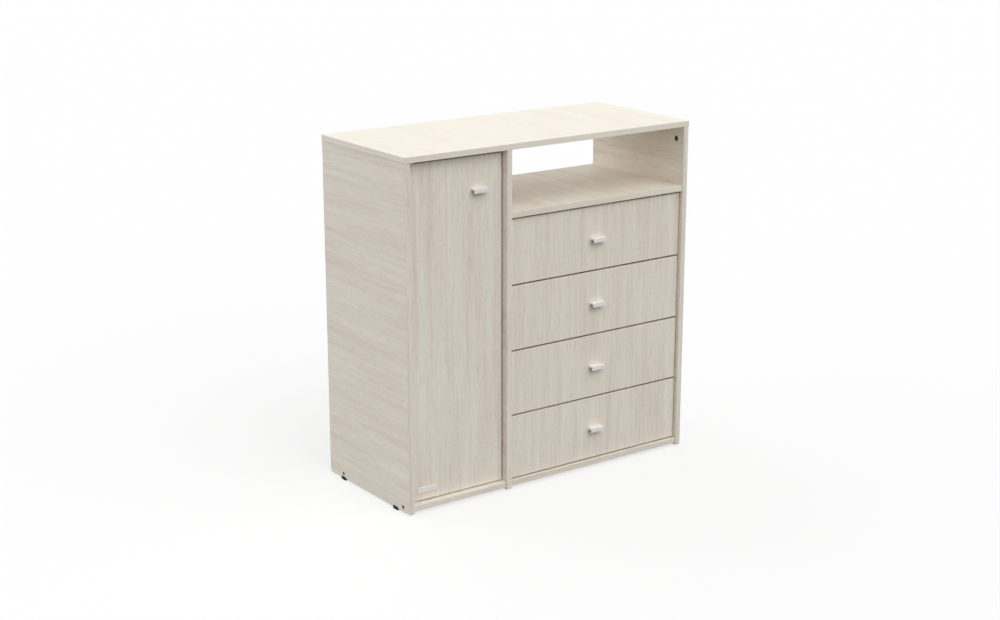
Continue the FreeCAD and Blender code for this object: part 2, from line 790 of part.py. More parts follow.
def door():
    """The door with its handle, blank name plate, pivots, and the catch that holds it shut."""
    board("door_panel", (door_left, door_front, door_bottom),
          (door_right - door_left, d.board, door_top - door_bottom))
    at = (door_right - d.door_handle_edge, door_front, door_top - d.door_handle_drop)
    handle("door_handle", at)
    handle_screws("door_screws", "door_handle", "door_panel", at)
    board("name_plate",
          (door_left + d.plate_inset, door_front - d.plate_thickness, door_bottom + d.plate_rise),
          (d.plate_width, d.plate_thickness, d.plate_height))

    for pin, end, surface, direction, label in (
        (lower_pivot, door_bottom, floor_top, DOWN, "wardrobe_floor"),
        (upper_pivot, door_top, top_under, UP, "top_panel"),
    ):
        fasten("pivot_pins", pin, (pivot_x, pivot_y, end), direction, ("door_panel",))
        fasten("pivot_bushes", pivot_bush, (pivot_x, pivot_y, surface), direction, (label,))

    catch_z = door_top - d.door_handle_drop - d.handle_height / 2
    strike_right = door_right - d.strike_inset
    board("strike_plate", (strike_right - d.strike_width, door_rear, catch_z - d.strike_length / 2),
          (d.strike_width, d.strike_thickness, d.strike_length))
    catch_front = door_rear + d.strike_thickness + d.catch_gap
    board("magnetic_catch", (divider_left - d.catch_thickness, catch_front, catch_z - d.catch_length / 2),
          (d.catch_thickness, d.catch_depth, d.catch_length))
    for sign in (UP, DOWN):
        strike_face = door_rear + d.strike_thickness - d.head_sink
        strike_middle = (strike_right - d.strike_width / 2, strike_face, catch_z)
        strike_screw = shift(strike_middle, sign, d.strike_length / 2 - d.strike_screw_inset)
        fasten("door_screws", short_screw, strike_screw, FRONT, ("strike_plate", "door_panel"))
        catch_face = divider_left - d.catch_thickness + d.head_sink
        catch_middle = (catch_face, catch_front + d.catch_depth / 2, catch_z)
        catch_screw = shift(catch_middle, sign, d.catch_length / 2 - d.catch_screw_inset)
        fasten("rail_screws", rail_screw, catch_screw, RIGHT, ("magnetic_catch", "centre_divider"))


def drawer_box(name, bottom):
    """One drawer: its front, sides, back and bottom, its handle and its fasteners."""
    fasteners = f"{name}_fasteners"
    low = bottom + d.drawer_side_rise
    box_left = divider_right + d.runner_gap
    box_right = right_inner - d.runner_gap
    inner_left = box_left + d.board
    inner_right = box_right - d.board
    box_end = drawer_rear_face + d.drawer_length
    back_front = box_end - d.board

    board(f"{name}_front", (divider_right + d.drawer_side_gap, drawer_face, bottom),
          (chest_width - d.drawer_side_gap * 2, d.board, drawer_front_height))
    side = (d.board, d.drawer_length, d.drawer_side_height)
    board(f"{name}_left_side", (box_left, drawer_rear_face, low), side)
    board(f"{name}_right_side", (inner_right, drawer_rear_face, low), side)
    board(f"{name}_back", (inner_left, back_front, low),
          (inner_right - inner_left, d.board, d.drawer_side_height))

    tongue = d.base_groove - d.base_fit
    base_z = low + d.base_rise
    base_width = inner_right - inner_left + tongue * 2
    base_depth = back_front - drawer_rear_face + tongue * 2
    board(f"{name}_bottom", (inner_left - tongue, drawer_rear_face - tongue, base_z),
          (base_width, base_depth, d.base_thickness))
    slot_low = base_z - d.base_fit
    slot = d.base_thickness + d.base_fit * 2
    deep = d.base_groove + d.overrun
    slot_width = inner_right - inner_left + d.base_groove * 2
    slot_left = inner_left - d.base_groove
    groove(f"{name}_front", (slot_left, drawer_rear_face - d.base_groove, slot_low),
           (slot_width, deep, slot))
    groove(f"{name}_back", (slot_left, back_front - d.overrun, slot_low), (slot_width, deep, slot))
    run = d.drawer_length + d.overrun * 2
    groove(f"{name}_left_side", (slot_left, drawer_rear_face - d.overrun, slot_low), (deep, run, slot))
    groove(f"{name}_right_side", (inner_right - d.overrun, drawer_rear_face - d.overrun, slot_low),
           (deep, run, slot))

    channel_low = low + d.rail_rise - d.rail_play
    channel = d.rail_height + d.rail_play + d.rail_seat
    channel_deep = d.rail_entry + d.rail_side_play + d.overrun
    channel_start = drawer_rear_face + d.rail_stop
    channel_run = d.drawer_length - d.rail_stop + d.overrun
    groove(f"{name}_left_side", (box_left - d.overrun, channel_start, channel_low),
           (channel_deep, channel_run, channel))
    groove(f"{name}_right_side", (box_right + d.overrun - channel_deep, channel_start, channel_low),
           (channel_deep, channel_run, channel))

    middle = divider_right + chest_width / 2
    at = (middle, drawer_face, bottom + drawer_front_height / 2 + d.drawer_handle_rise)
    handle(f"{name}_handle", at)
    handle_screws(fasteners, f"{name}_handle", f"{name}_front", at)

    cam_at = (drawer_rear_face + d.cam_drop, low + d.drawer_cam_rise)
    for face, outer, into, label in (
        (inner_left, box_left, LEFT, f"{name}_left_side"),
        (inner_right, box_right, RIGHT, f"{name}_right_side"),
    ):
        cam_joint(fasteners, fasteners, (face, *cam_at), into, FRONT, label, f"{name}_front")
        for z in (low + d.drawer_screw_inset, low + d.drawer_side_height - d.drawer_screw_inset):
            head = shift((outer, back_front + d.board / 2, z), -into, d.head_sink)
            fasten(fasteners, drawer_screw, head, -into, (label, f"{name}_back"))


def drawer_rails(name, bottom):
    """The two rails that carry one drawer, screwed to the divider and to the right side."""
    thickness = d.runner_gap + d.rail_entry
    start = drawer_rear_face + d.rail_stop + d.rail_stop_gap
    run = d.drawer_length - d.rail_stop - d.rail_stop_gap
    low = bottom + d.drawer_side_rise + d.rail_rise
    for side, corner_x, face, into, label in (
        ("left", divider_right, divider_right + thickness, LEFT, "centre_divider"),
        ("right", right_inner - thickness, right_inner - thickness, RIGHT, "right_side_panel"),
    ):
        piece = f"{name}_{side}_rail"
        board(piece, (corner_x, start, low), (thickness, run, d.rail_height))
        for y in (start + d.rail_screw_inset, start + run - d.rail_screw_inset):
            head = shift((face, y, low + d.rail_height / 2), into, d.head_sink)
            fasten("rail_screws", rail_screw, head, into, (piece, label))
        copies.setdefault(f"{side}_drawer_rails", []).append(finished(piece, f"{piece}_solid"))


def build():
    """Model every piece, then drill the boards and gather the nodes."""
    carcass_boards()
    carcass_joints()
    back_nails()
    feet()
    wardrobe_fittings()
    door()
    pitch = drawer_front_height + d.drawer_gap
    for number in range(DRAWERS):
        name = f"drawer_{number + 1}"
        bottom = floor_top + d.drawer_bottom_gap + pitch * (DRAWERS - 1 - number)
        drawer_box(name, bottom)
        drawer_rails(name, bottom)
    inside_groups = ("_socket", "_rail")
    for label in list(blanks):
        if not label.endswith(inside_groups):
            nodes[label] = finished(label, label)
    for group, solids in copies.items():
        group_node(group, solids)
    doc.recompute()


def check():
    """Stop before anything is written if an object failed or a shape is empty or not valid."""
    failed = [item.Label for item in doc.Objects if {"Invalid", "Error"} & set(item.State)]
    broken = [name for name, item in nodes.items() if item.Shape.isNull() or not item.Shape.isValid()]
    misnamed = [name for name, item in nodes.items() if item.Label != name]
    if failed or broken or misnamed:
        raise RuntimeError(f"failed: {failed}; broken: {broken}; misnamed: {misnamed}")


def export():
    """Write one STEP file for each node."""
    os.makedirs("parts", exist_ok=True)
    for name, item in nodes.items():
        item.Shape.exportStep(os.path.join("parts", f"{name}.step"))
        box = item.Shape.BoundBox
        print(f"{name}: {len(item.Shape.Solids)} solids, z {box.ZMin:.2f} to {box.ZMax:.2f}")
    whole = FreeCAD.BoundBox()
    for item in nodes.values():
        whole.add(item.Shape.BoundBox)
    print(f"{len(nodes)} nodes, {whole.XLength:.2f} x {whole.YLength:.2f} x {whole.ZLength:.2f} mm")


build()
check()
export()
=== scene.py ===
"""Looks of a chifforobe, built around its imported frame.

Board and hardware finishes, detailed fasteners, the mouth of the catch, the floor, the light and the camera.
"""

import logging
import math
from dataclasses import dataclass, field
from enum import Enum
from typing import Any, Protocol

import bmesh
import bpy
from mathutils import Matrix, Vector

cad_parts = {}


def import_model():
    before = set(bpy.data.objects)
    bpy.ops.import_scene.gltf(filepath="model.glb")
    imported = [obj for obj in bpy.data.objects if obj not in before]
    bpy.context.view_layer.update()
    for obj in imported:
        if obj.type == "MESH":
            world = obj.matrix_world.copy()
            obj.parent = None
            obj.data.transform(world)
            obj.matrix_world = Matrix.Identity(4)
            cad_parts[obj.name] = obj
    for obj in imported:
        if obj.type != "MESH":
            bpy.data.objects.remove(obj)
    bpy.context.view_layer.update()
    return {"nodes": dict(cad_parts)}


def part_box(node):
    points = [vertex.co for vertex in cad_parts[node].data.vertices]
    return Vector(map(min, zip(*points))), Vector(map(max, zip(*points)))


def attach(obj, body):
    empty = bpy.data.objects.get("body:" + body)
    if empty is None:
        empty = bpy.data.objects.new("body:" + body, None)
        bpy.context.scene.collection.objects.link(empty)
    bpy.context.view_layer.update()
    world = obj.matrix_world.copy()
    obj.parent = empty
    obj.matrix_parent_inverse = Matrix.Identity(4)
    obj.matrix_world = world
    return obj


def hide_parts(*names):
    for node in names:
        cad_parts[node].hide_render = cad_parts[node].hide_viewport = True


MM = 0.001
DRAWERS = (1, 2, 3, 4)
WHITE = (1.0, 1.0, 1.0, 1.0)
# Where most values of a noise lie
NOISE_SPAN = (0.3, 0.7)
# A face looks along an axis where that share of its normal is larger than this
FACING = 0.7
# Corners of a mesh that are this close are one, and those of a rim lie this close to its level
WELD = 1e-6
RIM = 10 * WELD
# How much a fastener may differ from the seat that it fits
FIT_MM = 0.4
# The turn from one round fastener of a group to the next, so that no two look the same
GOLDEN_TURN = math.radians(137.508)
# How far a thread takes to rise, and the angle past which a turned edge is crisp
RUN_OUT = 1.0 * MM
SHARP_EDGE = math.radians(38.0)
SEAT_WAYS = ("axis", "turn")
# The kinds of node that are used most
MATH = "ShaderNodeMath"
VECTOR_MATH = "ShaderNodeVectorMath"
MAP_RANGE = "ShaderNodeMapRange"
log = logging.getLogger("chifforobe")

Colour = tuple[float, float, float, float]
Span = tuple[float, float]
Sizes = tuple[float, float, float]
Tree = bpy.types.NodeTree
Node = bpy.types.Node
Socket = bpy.types.NodeSocket


def linear(code: str) -> Colour:
    """Turn an sRGB colour into linear light.

    Args:
        code: six hex digits, such as "cfc9be".

    Returns:
        Red, green and blue in linear light, and an alpha of one.
    """
    shares = [int(code[start:start + 2], 16) / 255 for start in (0, 2, 4)]
    red, green, blue = (c / 12.92 if c <= 0.04045 else ((c + 0.055) / 1.055) ** 2.4 for c in shares)
    return red, green, blue, 1.0


def per_metre(*sizes_mm: float) -> tuple[float, ...]:
    """How often a feature of each size in millimetres fits in a metre."""
    return tuple(1 / (size * MM) for size in sizes_mm)


def add_node(tree: Tree, kind: str, inputs: dict[Any, Any] | None = None, **settings: Any) -> Node:
    """Add a node with its settings, and feed its inputs.

    Args:
        tree: the shader or geometry tree that gets the node.
        kind: Blender's name for the kind of node.
        inputs: by socket name or number, the socket to link, a node whose first output is linked, or the
            plain value to set.
        settings: properties of the node.

    Returns:
        The new node.
    """
    node = tree.nodes.new(kind)
    for name, value in settings.items():
        setattr(node, name, value)
    for key, value in (inputs or {}).items():
        if isinstance(value, Node):
            value = value.outputs[0]
        if isinstance(value, Socket):
            tree.links.new(value, node.inputs[key])
        else:
            node.inputs[key].default_value = value
    return node


def set_ramp(node: Node, codes: tuple[str, ...], low: float, high: float) -> None:
    """Spread colours evenly over a stretch of a colour ramp.

    Args:
        node: the Color Ramp node.
        codes: sRGB hex colours, from the low end to the high one.
        low: where the first colour stands.
        high: where the last colour stands.
    """
    stops = node.color_ramp.elements
    while len(stops) < len(codes):
        stops.new(0.5)
    for number, code in enumerate(codes):
        stops[number].position = low + (high - low) * number / (len(codes) - 1)
        stops[number].color = linear(code)


class Side(Enum):
    """The ways that a face of a board can look, as unit vectors."""

    LEFT = (-1.0, 0.0, 0.0)
    RIGHT = (1.0, 0.0, 0.0)
    FRONT = (0.0, -1.0, 0.0)
    REAR = (0.0, 1.0, 0.0)
    TOP = (0.0, 0.0, 1.0)
    UNDER = (0.0, 0.0, -1.0)


class GrainLay(Enum):
    """How the grain runs on faces that look to the front or the rear."""

    UPRIGHT = "upright"
    LYING = "lying"


@dataclass(frozen=True)
class Look:
    """What a surface pattern gives to a shader."""

    colour: Socket
    roughness: Socket
    height: Socket


@dataclass(frozen=True)
class PrintedGrain:
    """Decor paper under melamine: cream and pinkish streaks along the grain, short flecks and fine pores."""

    lay: GrainLay = GrainLay.UPRIGHT
    tones: tuple[str, ...] = ("e8dccf", "ede4d7", "f1ebde", "f4f0e2")
    dark_tone: str = "d5c4b5"
    pale_tone: str = "faf8ee"
    sway_mm: Sizes = (150.0, 260.0, 30.0)
    band_mm: Sizes = (30.0, 500.0, 30.0)
    streak_mm: Sizes = (8.0, 300.0, 30.0)
    fleck_mm: Sizes = (3.2, 46.0, 30.0)
    pore_mm: Sizes = (0.9, 12.0, 30.0)
    wander_mm: float = 4.0
    streak_share: float = 0.52
    fleck_share: float = 0.36
    pore_share: float = 0.35
    # Noise values over which the tones spread, and a fleck or a pore comes in
    tone_span: Span = (0.34, 0.66)
    dark_fleck_span: Span = (0.54, 0.76)
    pale_fleck_span: Span = (0.46, 0.24)
    pore_span: Span = (0.56, 0.76)
    roughness: Span = (0.44, 0.54)

    def draw(self, tree: Tree) -> Look:
        """Add the pattern's nodes.

        Args:
            tree: the material's tree.

        Returns:
            The pattern's colour, roughness and height.
        """
        grain = self._along_grain(tree)
        sway = add_node(tree, VECTOR_MATH, {0: grain, 1: per_metre(*self.sway_mm)}, operation="MULTIPLY")
        sway = add_node(tree, "ShaderNodeTexNoise", {"Vector": sway, "Scale": 1.0, "Detail": 1.0})
        sway = add_node(tree, MAP_RANGE, {
            "Value": sway.outputs["Fac"], "To Min": -self.wander_mm * MM, "To Max": self.wander_mm * MM})
        sway = add_node(tree, "ShaderNodeCombineXYZ", {"X": sway.outputs["Result"]})
        wavy = add_node(tree, VECTOR_MATH, {0: grain, 1: sway}, operation="ADD")

        layers = {}
        for name, size, detail in (("band", self.band_mm, 1.0), ("streak", self.streak_mm, 3.0),
                                   ("fleck", self.fleck_mm, 2.0), ("pore", self.pore_mm, 0.0)):
            scaled = add_node(tree, VECTOR_MATH, {0: wavy, 1: per_metre(*size)}, operation="MULTIPLY")
            noise = add_node(tree, "ShaderNodeTexNoise", {"Vector": scaled, "Scale": 1.0, "Detail": detail})
            layers[name] = noise.outputs["Fac"]

        blend = add_node(tree, "ShaderNodeMix", {
            0: self.streak_share, 2: layers["band"], 3: layers["streak"]})
        tone = add_node(tree, "ShaderNodeValToRGB", {"Fac": blend})
        set_ramp(tone, self.tones, *self.tone_span)
        colour = tone.outputs["Color"]
        masks = []
        for name, (start, end), share, code in (
            ("fleck", self.dark_fleck_span, self.fleck_share, self.dark_tone),
            ("fleck", self.pale_fleck_span, self.fleck_share, self.pale_tone),
            ("pore", self.pore_span, self.pore_share, self.dark_tone),
        ):
            mask = add_node(tree, MAP_RANGE, {
                "Value": layers[name], "From Min": start, "From Max": end, "To Max": share})
            masks.append(mask.outputs["Result"])
            mixed = add_node(tree, "ShaderNodeMix", {0: masks[-1], 6: colour, 7: linear(code)},
                             data_type="RGBA")
            colour = mixed.outputs[2]

        rough = add_node(tree, MAP_RANGE, {
            "Value": layers["fleck"], "From Min": NOISE_SPAN[0], "From Max": NOISE_SPAN[1],
            "To Min": self.roughness[0], "To Max": self.roughness[1]})
        dents = add_node(tree, MATH, {0: masks[0], 1: masks[-1]}, operation="ADD")
        height = add_node(tree, MATH, {0: 1.0, 1: dents}, operation="SUBTRACT")
        return Look(colour, rough.outputs["Result"], height.outputs[0])

    def _along_grain(self, tree: Tree) -> Socket:
        """Add nodes that lay the pattern on each face.

        Args:
            tree: the material's tree.

        Returns:
            A vector of the place across the grain, along it, and through the board.
        """
        place = add_node(tree, "ShaderNodeTexCoord")
        spot = add_node(tree, "ShaderNodeSeparateXYZ", {0: place.outputs["Object"]})
        x, y, z = spot.outputs
        on_front = (x, z, y) if self.lay is GrainLay.UPRIGHT else (z, x, y)
        flat, side, front = (add_node(tree, "ShaderNodeCombineXYZ", dict(enumerate(order))).outputs[0]
                             for order in ((x, y, z), (z, y, x), on_front))
        facing = add_node(tree, VECTOR_MATH, {0: place.outputs["Normal"]}, operation="ABSOLUTE")
        facing = add_node(tree, "ShaderNodeSeparateXYZ", {0: facing})
        laid = flat
        for axis, turned in (("X", side), ("Y", front)):
            here = add_node(tree, MATH, {0: facing.outputs[axis], 1: FACING}, operation="GREATER_THAN")
            laid = add_node(tree, "ShaderNodeMix", {0: here, 4: laid, 5: turned},
                            data_type="VECTOR").outputs[1]
        return laid


@dataclass(frozen=True)
class PressedCore:
    """What shows where a board is sawn or bare: pressed chips or fibres in soft clouds of brown."""

    tones: tuple[str, ...]
    flake_mm: float
    cloud_mm: float
    roughness: float = 0.85
    roughness_sway: float = 0.1
    dust_in_flakes: float = 3.0
    cloud_weight: float = 2.0
    tone_span: Span = (0.25, 0.75)

    def draw(self, tree: Tree) -> Look:
        """Add the pattern's nodes.

        Args:
            tree: the material's tree.

        Returns:
            The pattern's colour, roughness and height.
        """
        place = add_node(tree, "ShaderNodeTexCoord")
        scale = per_metre(self.flake_mm)[0]
        flake = add_node(tree, "ShaderNodeTexVoronoi", {
            "Vector": place.outputs["Object"], "Scale": scale, "Randomness": 1.0})
        pick = add_node(tree, "ShaderNodeSeparateColor", {0: flake.outputs["Color"]}).outputs["Red"]
        dust = add_node(tree, "ShaderNodeTexNoise", {
            "Vector": place.outputs["Object"], "Scale": scale / self.dust_in_flakes, "Detail": 4.0})
        cloud = add_node(tree, "ShaderNodeTexNoise", {
            "Vector": place.outputs["Object"], "Scale": per_metre(self.cloud_mm)[0], "Detail": 3.0})
        blend = add_node(tree, MATH, {0: pick, 1: dust.outputs["Fac"]}, operation="ADD")
        blend = add_node(tree, MATH, {
            0: cloud.outputs["Fac"], 1: self.cloud_weight, 2: blend}, operation="MULTIPLY_ADD")
        blend = add_node(tree, MATH, {0: blend, 1: 1 / (2 + self.cloud_weight)}, operation="MULTIPLY")
        tone = add_node(tree, "ShaderNodeValToRGB", {"Fac": blend})
        set_ramp(tone, self.tones, *self.tone_span)
        rough = add_node(tree, MAP_RANGE, {
            "Value": dust.outputs["Fac"], "To Min": self.roughness - self.roughness_sway,
            "To Max": self.roughness + self.roughness_sway})
        return Look(tone.outputs["Color"], rough.outputs["Result"], flake.outputs["Distance"])


@dataclass(frozen=True)
class Finish:
    """A surface finish that is made into one material."""

    name: str

    def material(self) -> bpy.types.Material:
        """The finish's material, made the first time that it is asked for."""
        made = bpy.data.materials.get(self.name)
        if made is None:
            made = bpy.data.materials.new(self.name)
            made.use_nodes = True
            made.node_tree.nodes.clear()
            shader = self.shader(made.node_tree)
            add_node(made.node_tree, "ShaderNodeOutputMaterial", {"Surface": shader})
        return made

    def shader(self, tree: Tree) -> Node:
        """Add the finish's nodes.

        Args:
            tree: the material's tree.

        Returns:
            The shader node of the surface.
        """
        raise NotImplementedError


class Pattern(Protocol):
    """Anything that can draw a surface."""

    def draw(self, tree: Tree) -> Look:
        """Add the pattern's nodes and return its colour, roughness and height."""


@dataclass(frozen=True)
class Faced(Finish):
    """A face over a core that shows on bare sides and in every hole and hollow; on the pulls the hollow gets
    dark grey painted shade in place of a core.
    """

    face: Pattern
    core: Pattern
    low: Vector
    high: Vector
    bare: tuple[Side, ...] = ()
    skin_mm: float = 0.6
    relief_mm: float = 0.12
    specular: float = 0.35
    bump: float = 0.5

    def shader(self, tree: Tree) -> Node:
        """Add the nodes of the face, the core (dark grey painted shade on the pulls) and the test that tells
        them apart.

        Args:
            tree: the material's tree.

        Returns:
            The shader node of the surface.
        """
        face, core = self.face.draw(tree), self.core.draw(tree)
        # On the pulls this mask marks the hollow, which is painted dark grey as shade
        bare = self._bare_and_shaded(tree)
        colour = add_node(tree, "ShaderNodeMix", {0: bare, 6: face.colour, 7: core.colour}, data_type="RGBA")
        rough = add_node(tree, "ShaderNodeMix", {0: bare, 2: face.roughness, 3: core.roughness})
        height = add_node(tree, "ShaderNodeMix", {0: bare, 2: face.height, 3: core.height})
        bump = add_node(tree, "ShaderNodeBump", {
            "Height": height, "Strength": self.bump, "Distance": self.relief_mm * MM})
        return add_node(tree, "ShaderNodeBsdfPrincipled", {
            "Base Color": colour.outputs[2], "Roughness": rough, "Normal": bump,
            "Specular IOR Level": self.specular})

    def _bare_and_shaded(self, tree: Tree) -> Socket:
        """Add the test for sawn and bare surfaces, which on the pulls marks the hollow for painted shade.

        Args:
            tree: the material's tree.

        Returns:
            One where the core shows (on the pulls, where the shade is painted), otherwise zero.
        """
        place = add_node(tree, "ShaderNodeTexCoord")
        offset = add_node(tree, VECTOR_MATH, {
            0: place.outputs["Object"], 1: (self.low + self.high) / 2}, operation="SUBTRACT")
        offset = add_node(tree, VECTOR_MATH, {0: offset}, operation="ABSOLUTE")
        depth = add_node(tree, VECTOR_MATH, {
            0: (self.high - self.low) / 2, 1: offset}, operation="SUBTRACT")
        x, y, z = add_node(tree, "ShaderNodeSeparateXYZ", {0: depth}).outputs
        least = add_node(tree, MATH, {0: x, 1: y}, operation="MINIMUM")
        least = add_node(tree, MATH, {0: least, 1: z}, operation="MINIMUM")
        shown = add_node(tree, MATH, {0: least, 1: self.skin_mm * MM}, operation="GREATER_THAN")
        for side in self.bare:
            turned = add_node(tree, VECTOR_MATH, {0: place.outputs["Normal"], 1: side.value},
                              operation="DOT_PRODUCT")
            turned = add_node(tree, MATH, {0: turned.outputs["Value"], 1: FACING},
                              operation="GREATER_THAN")
            shown = add_node(tree, MATH, {0: shown, 1: turned}, operation="MAXIMUM")
        return shown.outputs[0]


@dataclass(frozen=True)
class Mottled(Finish):
    """A moulded, cast or plated surface: two near tones in soft patches over a fine skin of the process."""

    tones: tuple[str, str]
    roughness: Span
    patch_mm: Sizes = (6.0, 6.0, 6.0)
    grit_mm: Sizes = (0.4, 0.4, 0.4)
    grit_depth_mm: float = 0.02
    metallic: float = 0.0
    specular: float = 0.5
    bump: float = 0.4

    def shader(self, tree: Tree) -> Node:
        """Add the nodes of the surface.

        Args:
            tree: the material's tree.

        Returns:
            The shader node of the surface.
        """
        look = self.draw(tree)
        bump = add_node(tree, "ShaderNodeBump", {
            "Height": look.height, "Strength": self.bump, "Distance": self.grit_depth_mm * MM})
        return add_node(tree, "ShaderNodeBsdfPrincipled", {
            "Base Color": look.colour, "Roughness": look.roughness, "Normal": bump,
            "Metallic": self.metallic, "Specular IOR Level": self.specular})

    def draw(self, tree: Tree) -> Look:
        """Add the nodes of the patches and the skin.

        Args:
            tree: the material's tree.

        Returns:
            The surface's colour, roughness and height.
        """
        place = add_node(tree, "ShaderNodeTexCoord")
        layers = []
        for size, detail in ((self.patch_mm, 3.0), (self.grit_mm, 1.0)):
            scaled = add_node(tree, VECTOR_MATH, {
                0: place.outputs["Object"], 1: per_metre(*size)}, operation="MULTIPLY")
            layers.append(add_node(tree, "ShaderNodeTexNoise", {
                "Vector": scaled, "Scale": 1.0, "Detail": detail}))
        patch, grit = (layer.outputs["Fac"] for layer in layers)
        tone = add_node(tree, "ShaderNodeValToRGB", {"Fac": patch})
        set_ramp(tone, self.tones, *NOISE_SPAN)
        rough = add_node(tree, MAP_RANGE, {
            "Value": patch, "From Min": NOISE_SPAN[0], "From Max": NOISE_SPAN[1],
            "To Min": self.roughness[0], "To Max": self.roughness[1]})
        return Look(tone.outputs["Color"], rough.outputs["Result"], grit)


# Pearl lacquer on the outside of the pulls: white, with a soft even sheen over a faint moulded skin
PEARL_LACQUER = Mottled("satin_lacquer_pearl_white", ("efedea", "f4f3f0"), (0.32, 0.4))
# Painted shade in the hollow of the pulls: dull dark grey plastic that stands in for the shadow inside the
# hollow
PAINTED_SHADE_ABS = Mottled("painted_shade_abs_grey", ("5c5a56", "686662"), (0.5, 0.6))
# Black polypropylene from a textured mould: dull, with only a broad grey sheen
BLACK_PP = Mottled("moulded_polypropylene_black", ("060606", "0b0b0b"), (0.5, 0.62), grit_depth_mm=0.04,
                   specular=0.25)
# Acetal rails: smooth, slightly waxy and off-white
RAIL_ACETAL = Mottled("acetal_rail_off_white", ("d3cfc4", "dad6cc"), (0.3, 0.38), (9.0, 40.0, 9.0),
                      (0.5, 6.0, 0.5), 0.01)
# Nylon bearings and sockets: white and half matt
WHITE_NYLON = Mottled("nylon_white", ("dcdad2", "e4e2db"), (0.36, 0.44), grit_depth_mm=0.01)
# Polystyrene housing of the catch: pale ivory with a light gloss
CATCH_STYRENE = Mottled("polystyrene_ivory", ("d8d3c6", "dfdacf"), (0.28, 0.36), grit_depth_mm=0.01)
# Die-cast zinc straight from the mould: dark, dull and a little cloudy
CAST_ZINC = Mottled("die_cast_zinc_dull", ("3f3a33", "544d44"), (0.45, 0.6), (3.0, 3.0, 3.0), metallic=0.6)
# Black oxide on steel: nearly black with a faint oily sheen
BLACK_STEEL = Mottled("black_oxide_steel", ("040403", "090807"), (0.4, 0.55), (2.5, 2.5, 2.5), specular=0.08)
# Zinc plating: bright, cold and faintly cloudy
ZINC_STEEL = Mottled("zinc_plated_steel", ("a9abac", "c2c3c2"), (0.26, 0.4), (2.0, 2.0, 2.0), metallic=1.0)
# Chromed tube: mirror bright, with drawing marks along its length
CHROME = Mottled("chromed_tube", ("c9cacc", "d2d3d4"), (0.08, 0.14), (60.0, 8.0, 8.0), (20.0, 0.5, 0.5),
                 0.004, metallic=1.0)
# Satin anodised plate: pale grey, brushed along its length
PLATE_ALUMINIUM = Mottled("brushed_anodised_plate", ("ecebe8", "f3f2ef"), (0.38, 0.48), (30.0, 1.2, 1.2),
                          (8.0, 0.35, 0.35), 0.015, metallic=0.15)
# Ferrite magnet: sintered, charcoal grey and dead matt
FERRITE = Mottled("sintered_ferrite", ("2a2a2b", "343435"), (0.7, 0.8), (1.5, 1.5, 1.5))
# Raw turned beech: warm and dry, with grain along its length
BEECH = Mottled("turned_beech_raw", ("b8946a", "c9a87e"), (0.6, 0.7), (18.0, 1.6, 1.6), (6.0, 0.3, 0.3),
                0.05)

# Print of the upright boards: grain from floor to top on the fronts
UPRIGHT_PRINT = PrintedGrain(GrainLay.UPRIGHT)
# Print of the boards that lie flat or carry the drawers: grain from left to right
LYING_PRINT = PrintedGrain(GrainLay.LYING)
# Print of the top: the same grain, washed out, so that it reads as one smooth cream sheet
FAINT_PRINT = PrintedGrain(GrainLay.LYING, ("efe6da", "f1e9dc", "f2ecdf", "f4efe2"), fleck_share=0.18,
                           pore_share=0.16)
# Chipboard: pale and dark wood chips a few millimetres long
CHIPBOARD = PressedCore(("7f6241", "a5845b", "c2a478", "d3bb94"), 2.4, 30.0)
# Hardboard: brown fibres pressed almost smooth
HARDBOARD = PressedCore(("74532f", "876342", "98754f", "a98661"), 0.9, 70.0, 0.7)


def dress(node: bpy.types.Object, finish: Finish) -> None:
    """Give every material slot of a CAD node one finish.

    Args:
        node: the CAD node's object.
        finish: what it is finished with.
    """
    for slot in node.material_slots:
        slot.material = finish.material()
    log.info("%s: %s", node.name, finish.name)


def board_finish(name: str, face: PrintedGrain, bare: tuple[Side, ...] = ()) -> Faced:
    """The printed chipboard finish of one board.

    Args:
        name: the board's CAD node.
        face: the print on its faces.
        bare: its sides without edging.

    Returns:
        The finish, which knows where the board's faces are.
    """
    low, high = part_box(name)
    return Faced(f"melamine_chipboard_{name}", face, CHIPBOARD, low, high, bare)


def pull_finish(name: str) -> Faced:
    """The finish of a pull: lacquer outside, dark grey painted shade in its hollow.

    Args:
        name: the pull's CAD node.

    Returns:
        The finish, which knows where the pull's outer faces are.
    """
    low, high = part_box(name)
    # Past 1.3 mm inside the pull's box, the hollow gets the dark grey painted shade
    return Faced(f"lacquered_abs_{name}", PEARL_LACQUER, PAINTED_SHADE_ABS, low, high, skin_mm=1.3, relief_mm=0.008,
                 specular=0.5)


def back_finish(name: str, faced: Side) -> Faced:
    """The finish of a hardboard sheet that is printed on one side.

    Args:
        name: the sheet's CAD node.
        faced: the printed side.

    Returns:
        The finish, bare on every other side.
    """
    low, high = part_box(name)
    bare = tuple(side for side in Side if side is not faced)
    return Faced(f"printed_hardboard_{name}", UPRIGHT_PRINT, HARDBOARD, low, high, bare)


class Drive(Enum):
    """The recess that a fastener is turned by."""

    NONE = "none"
    CROSS = "cross"
    HEXAGON = "hexagon"


@dataclass(frozen=True)
class Seat:
    """Where one fastener sits: its head, the way that the head looks, and the way that it is turned."""

    head: Vector
    axis: Vector
    turn: Vector
    length_mm: float
    width_mm: float


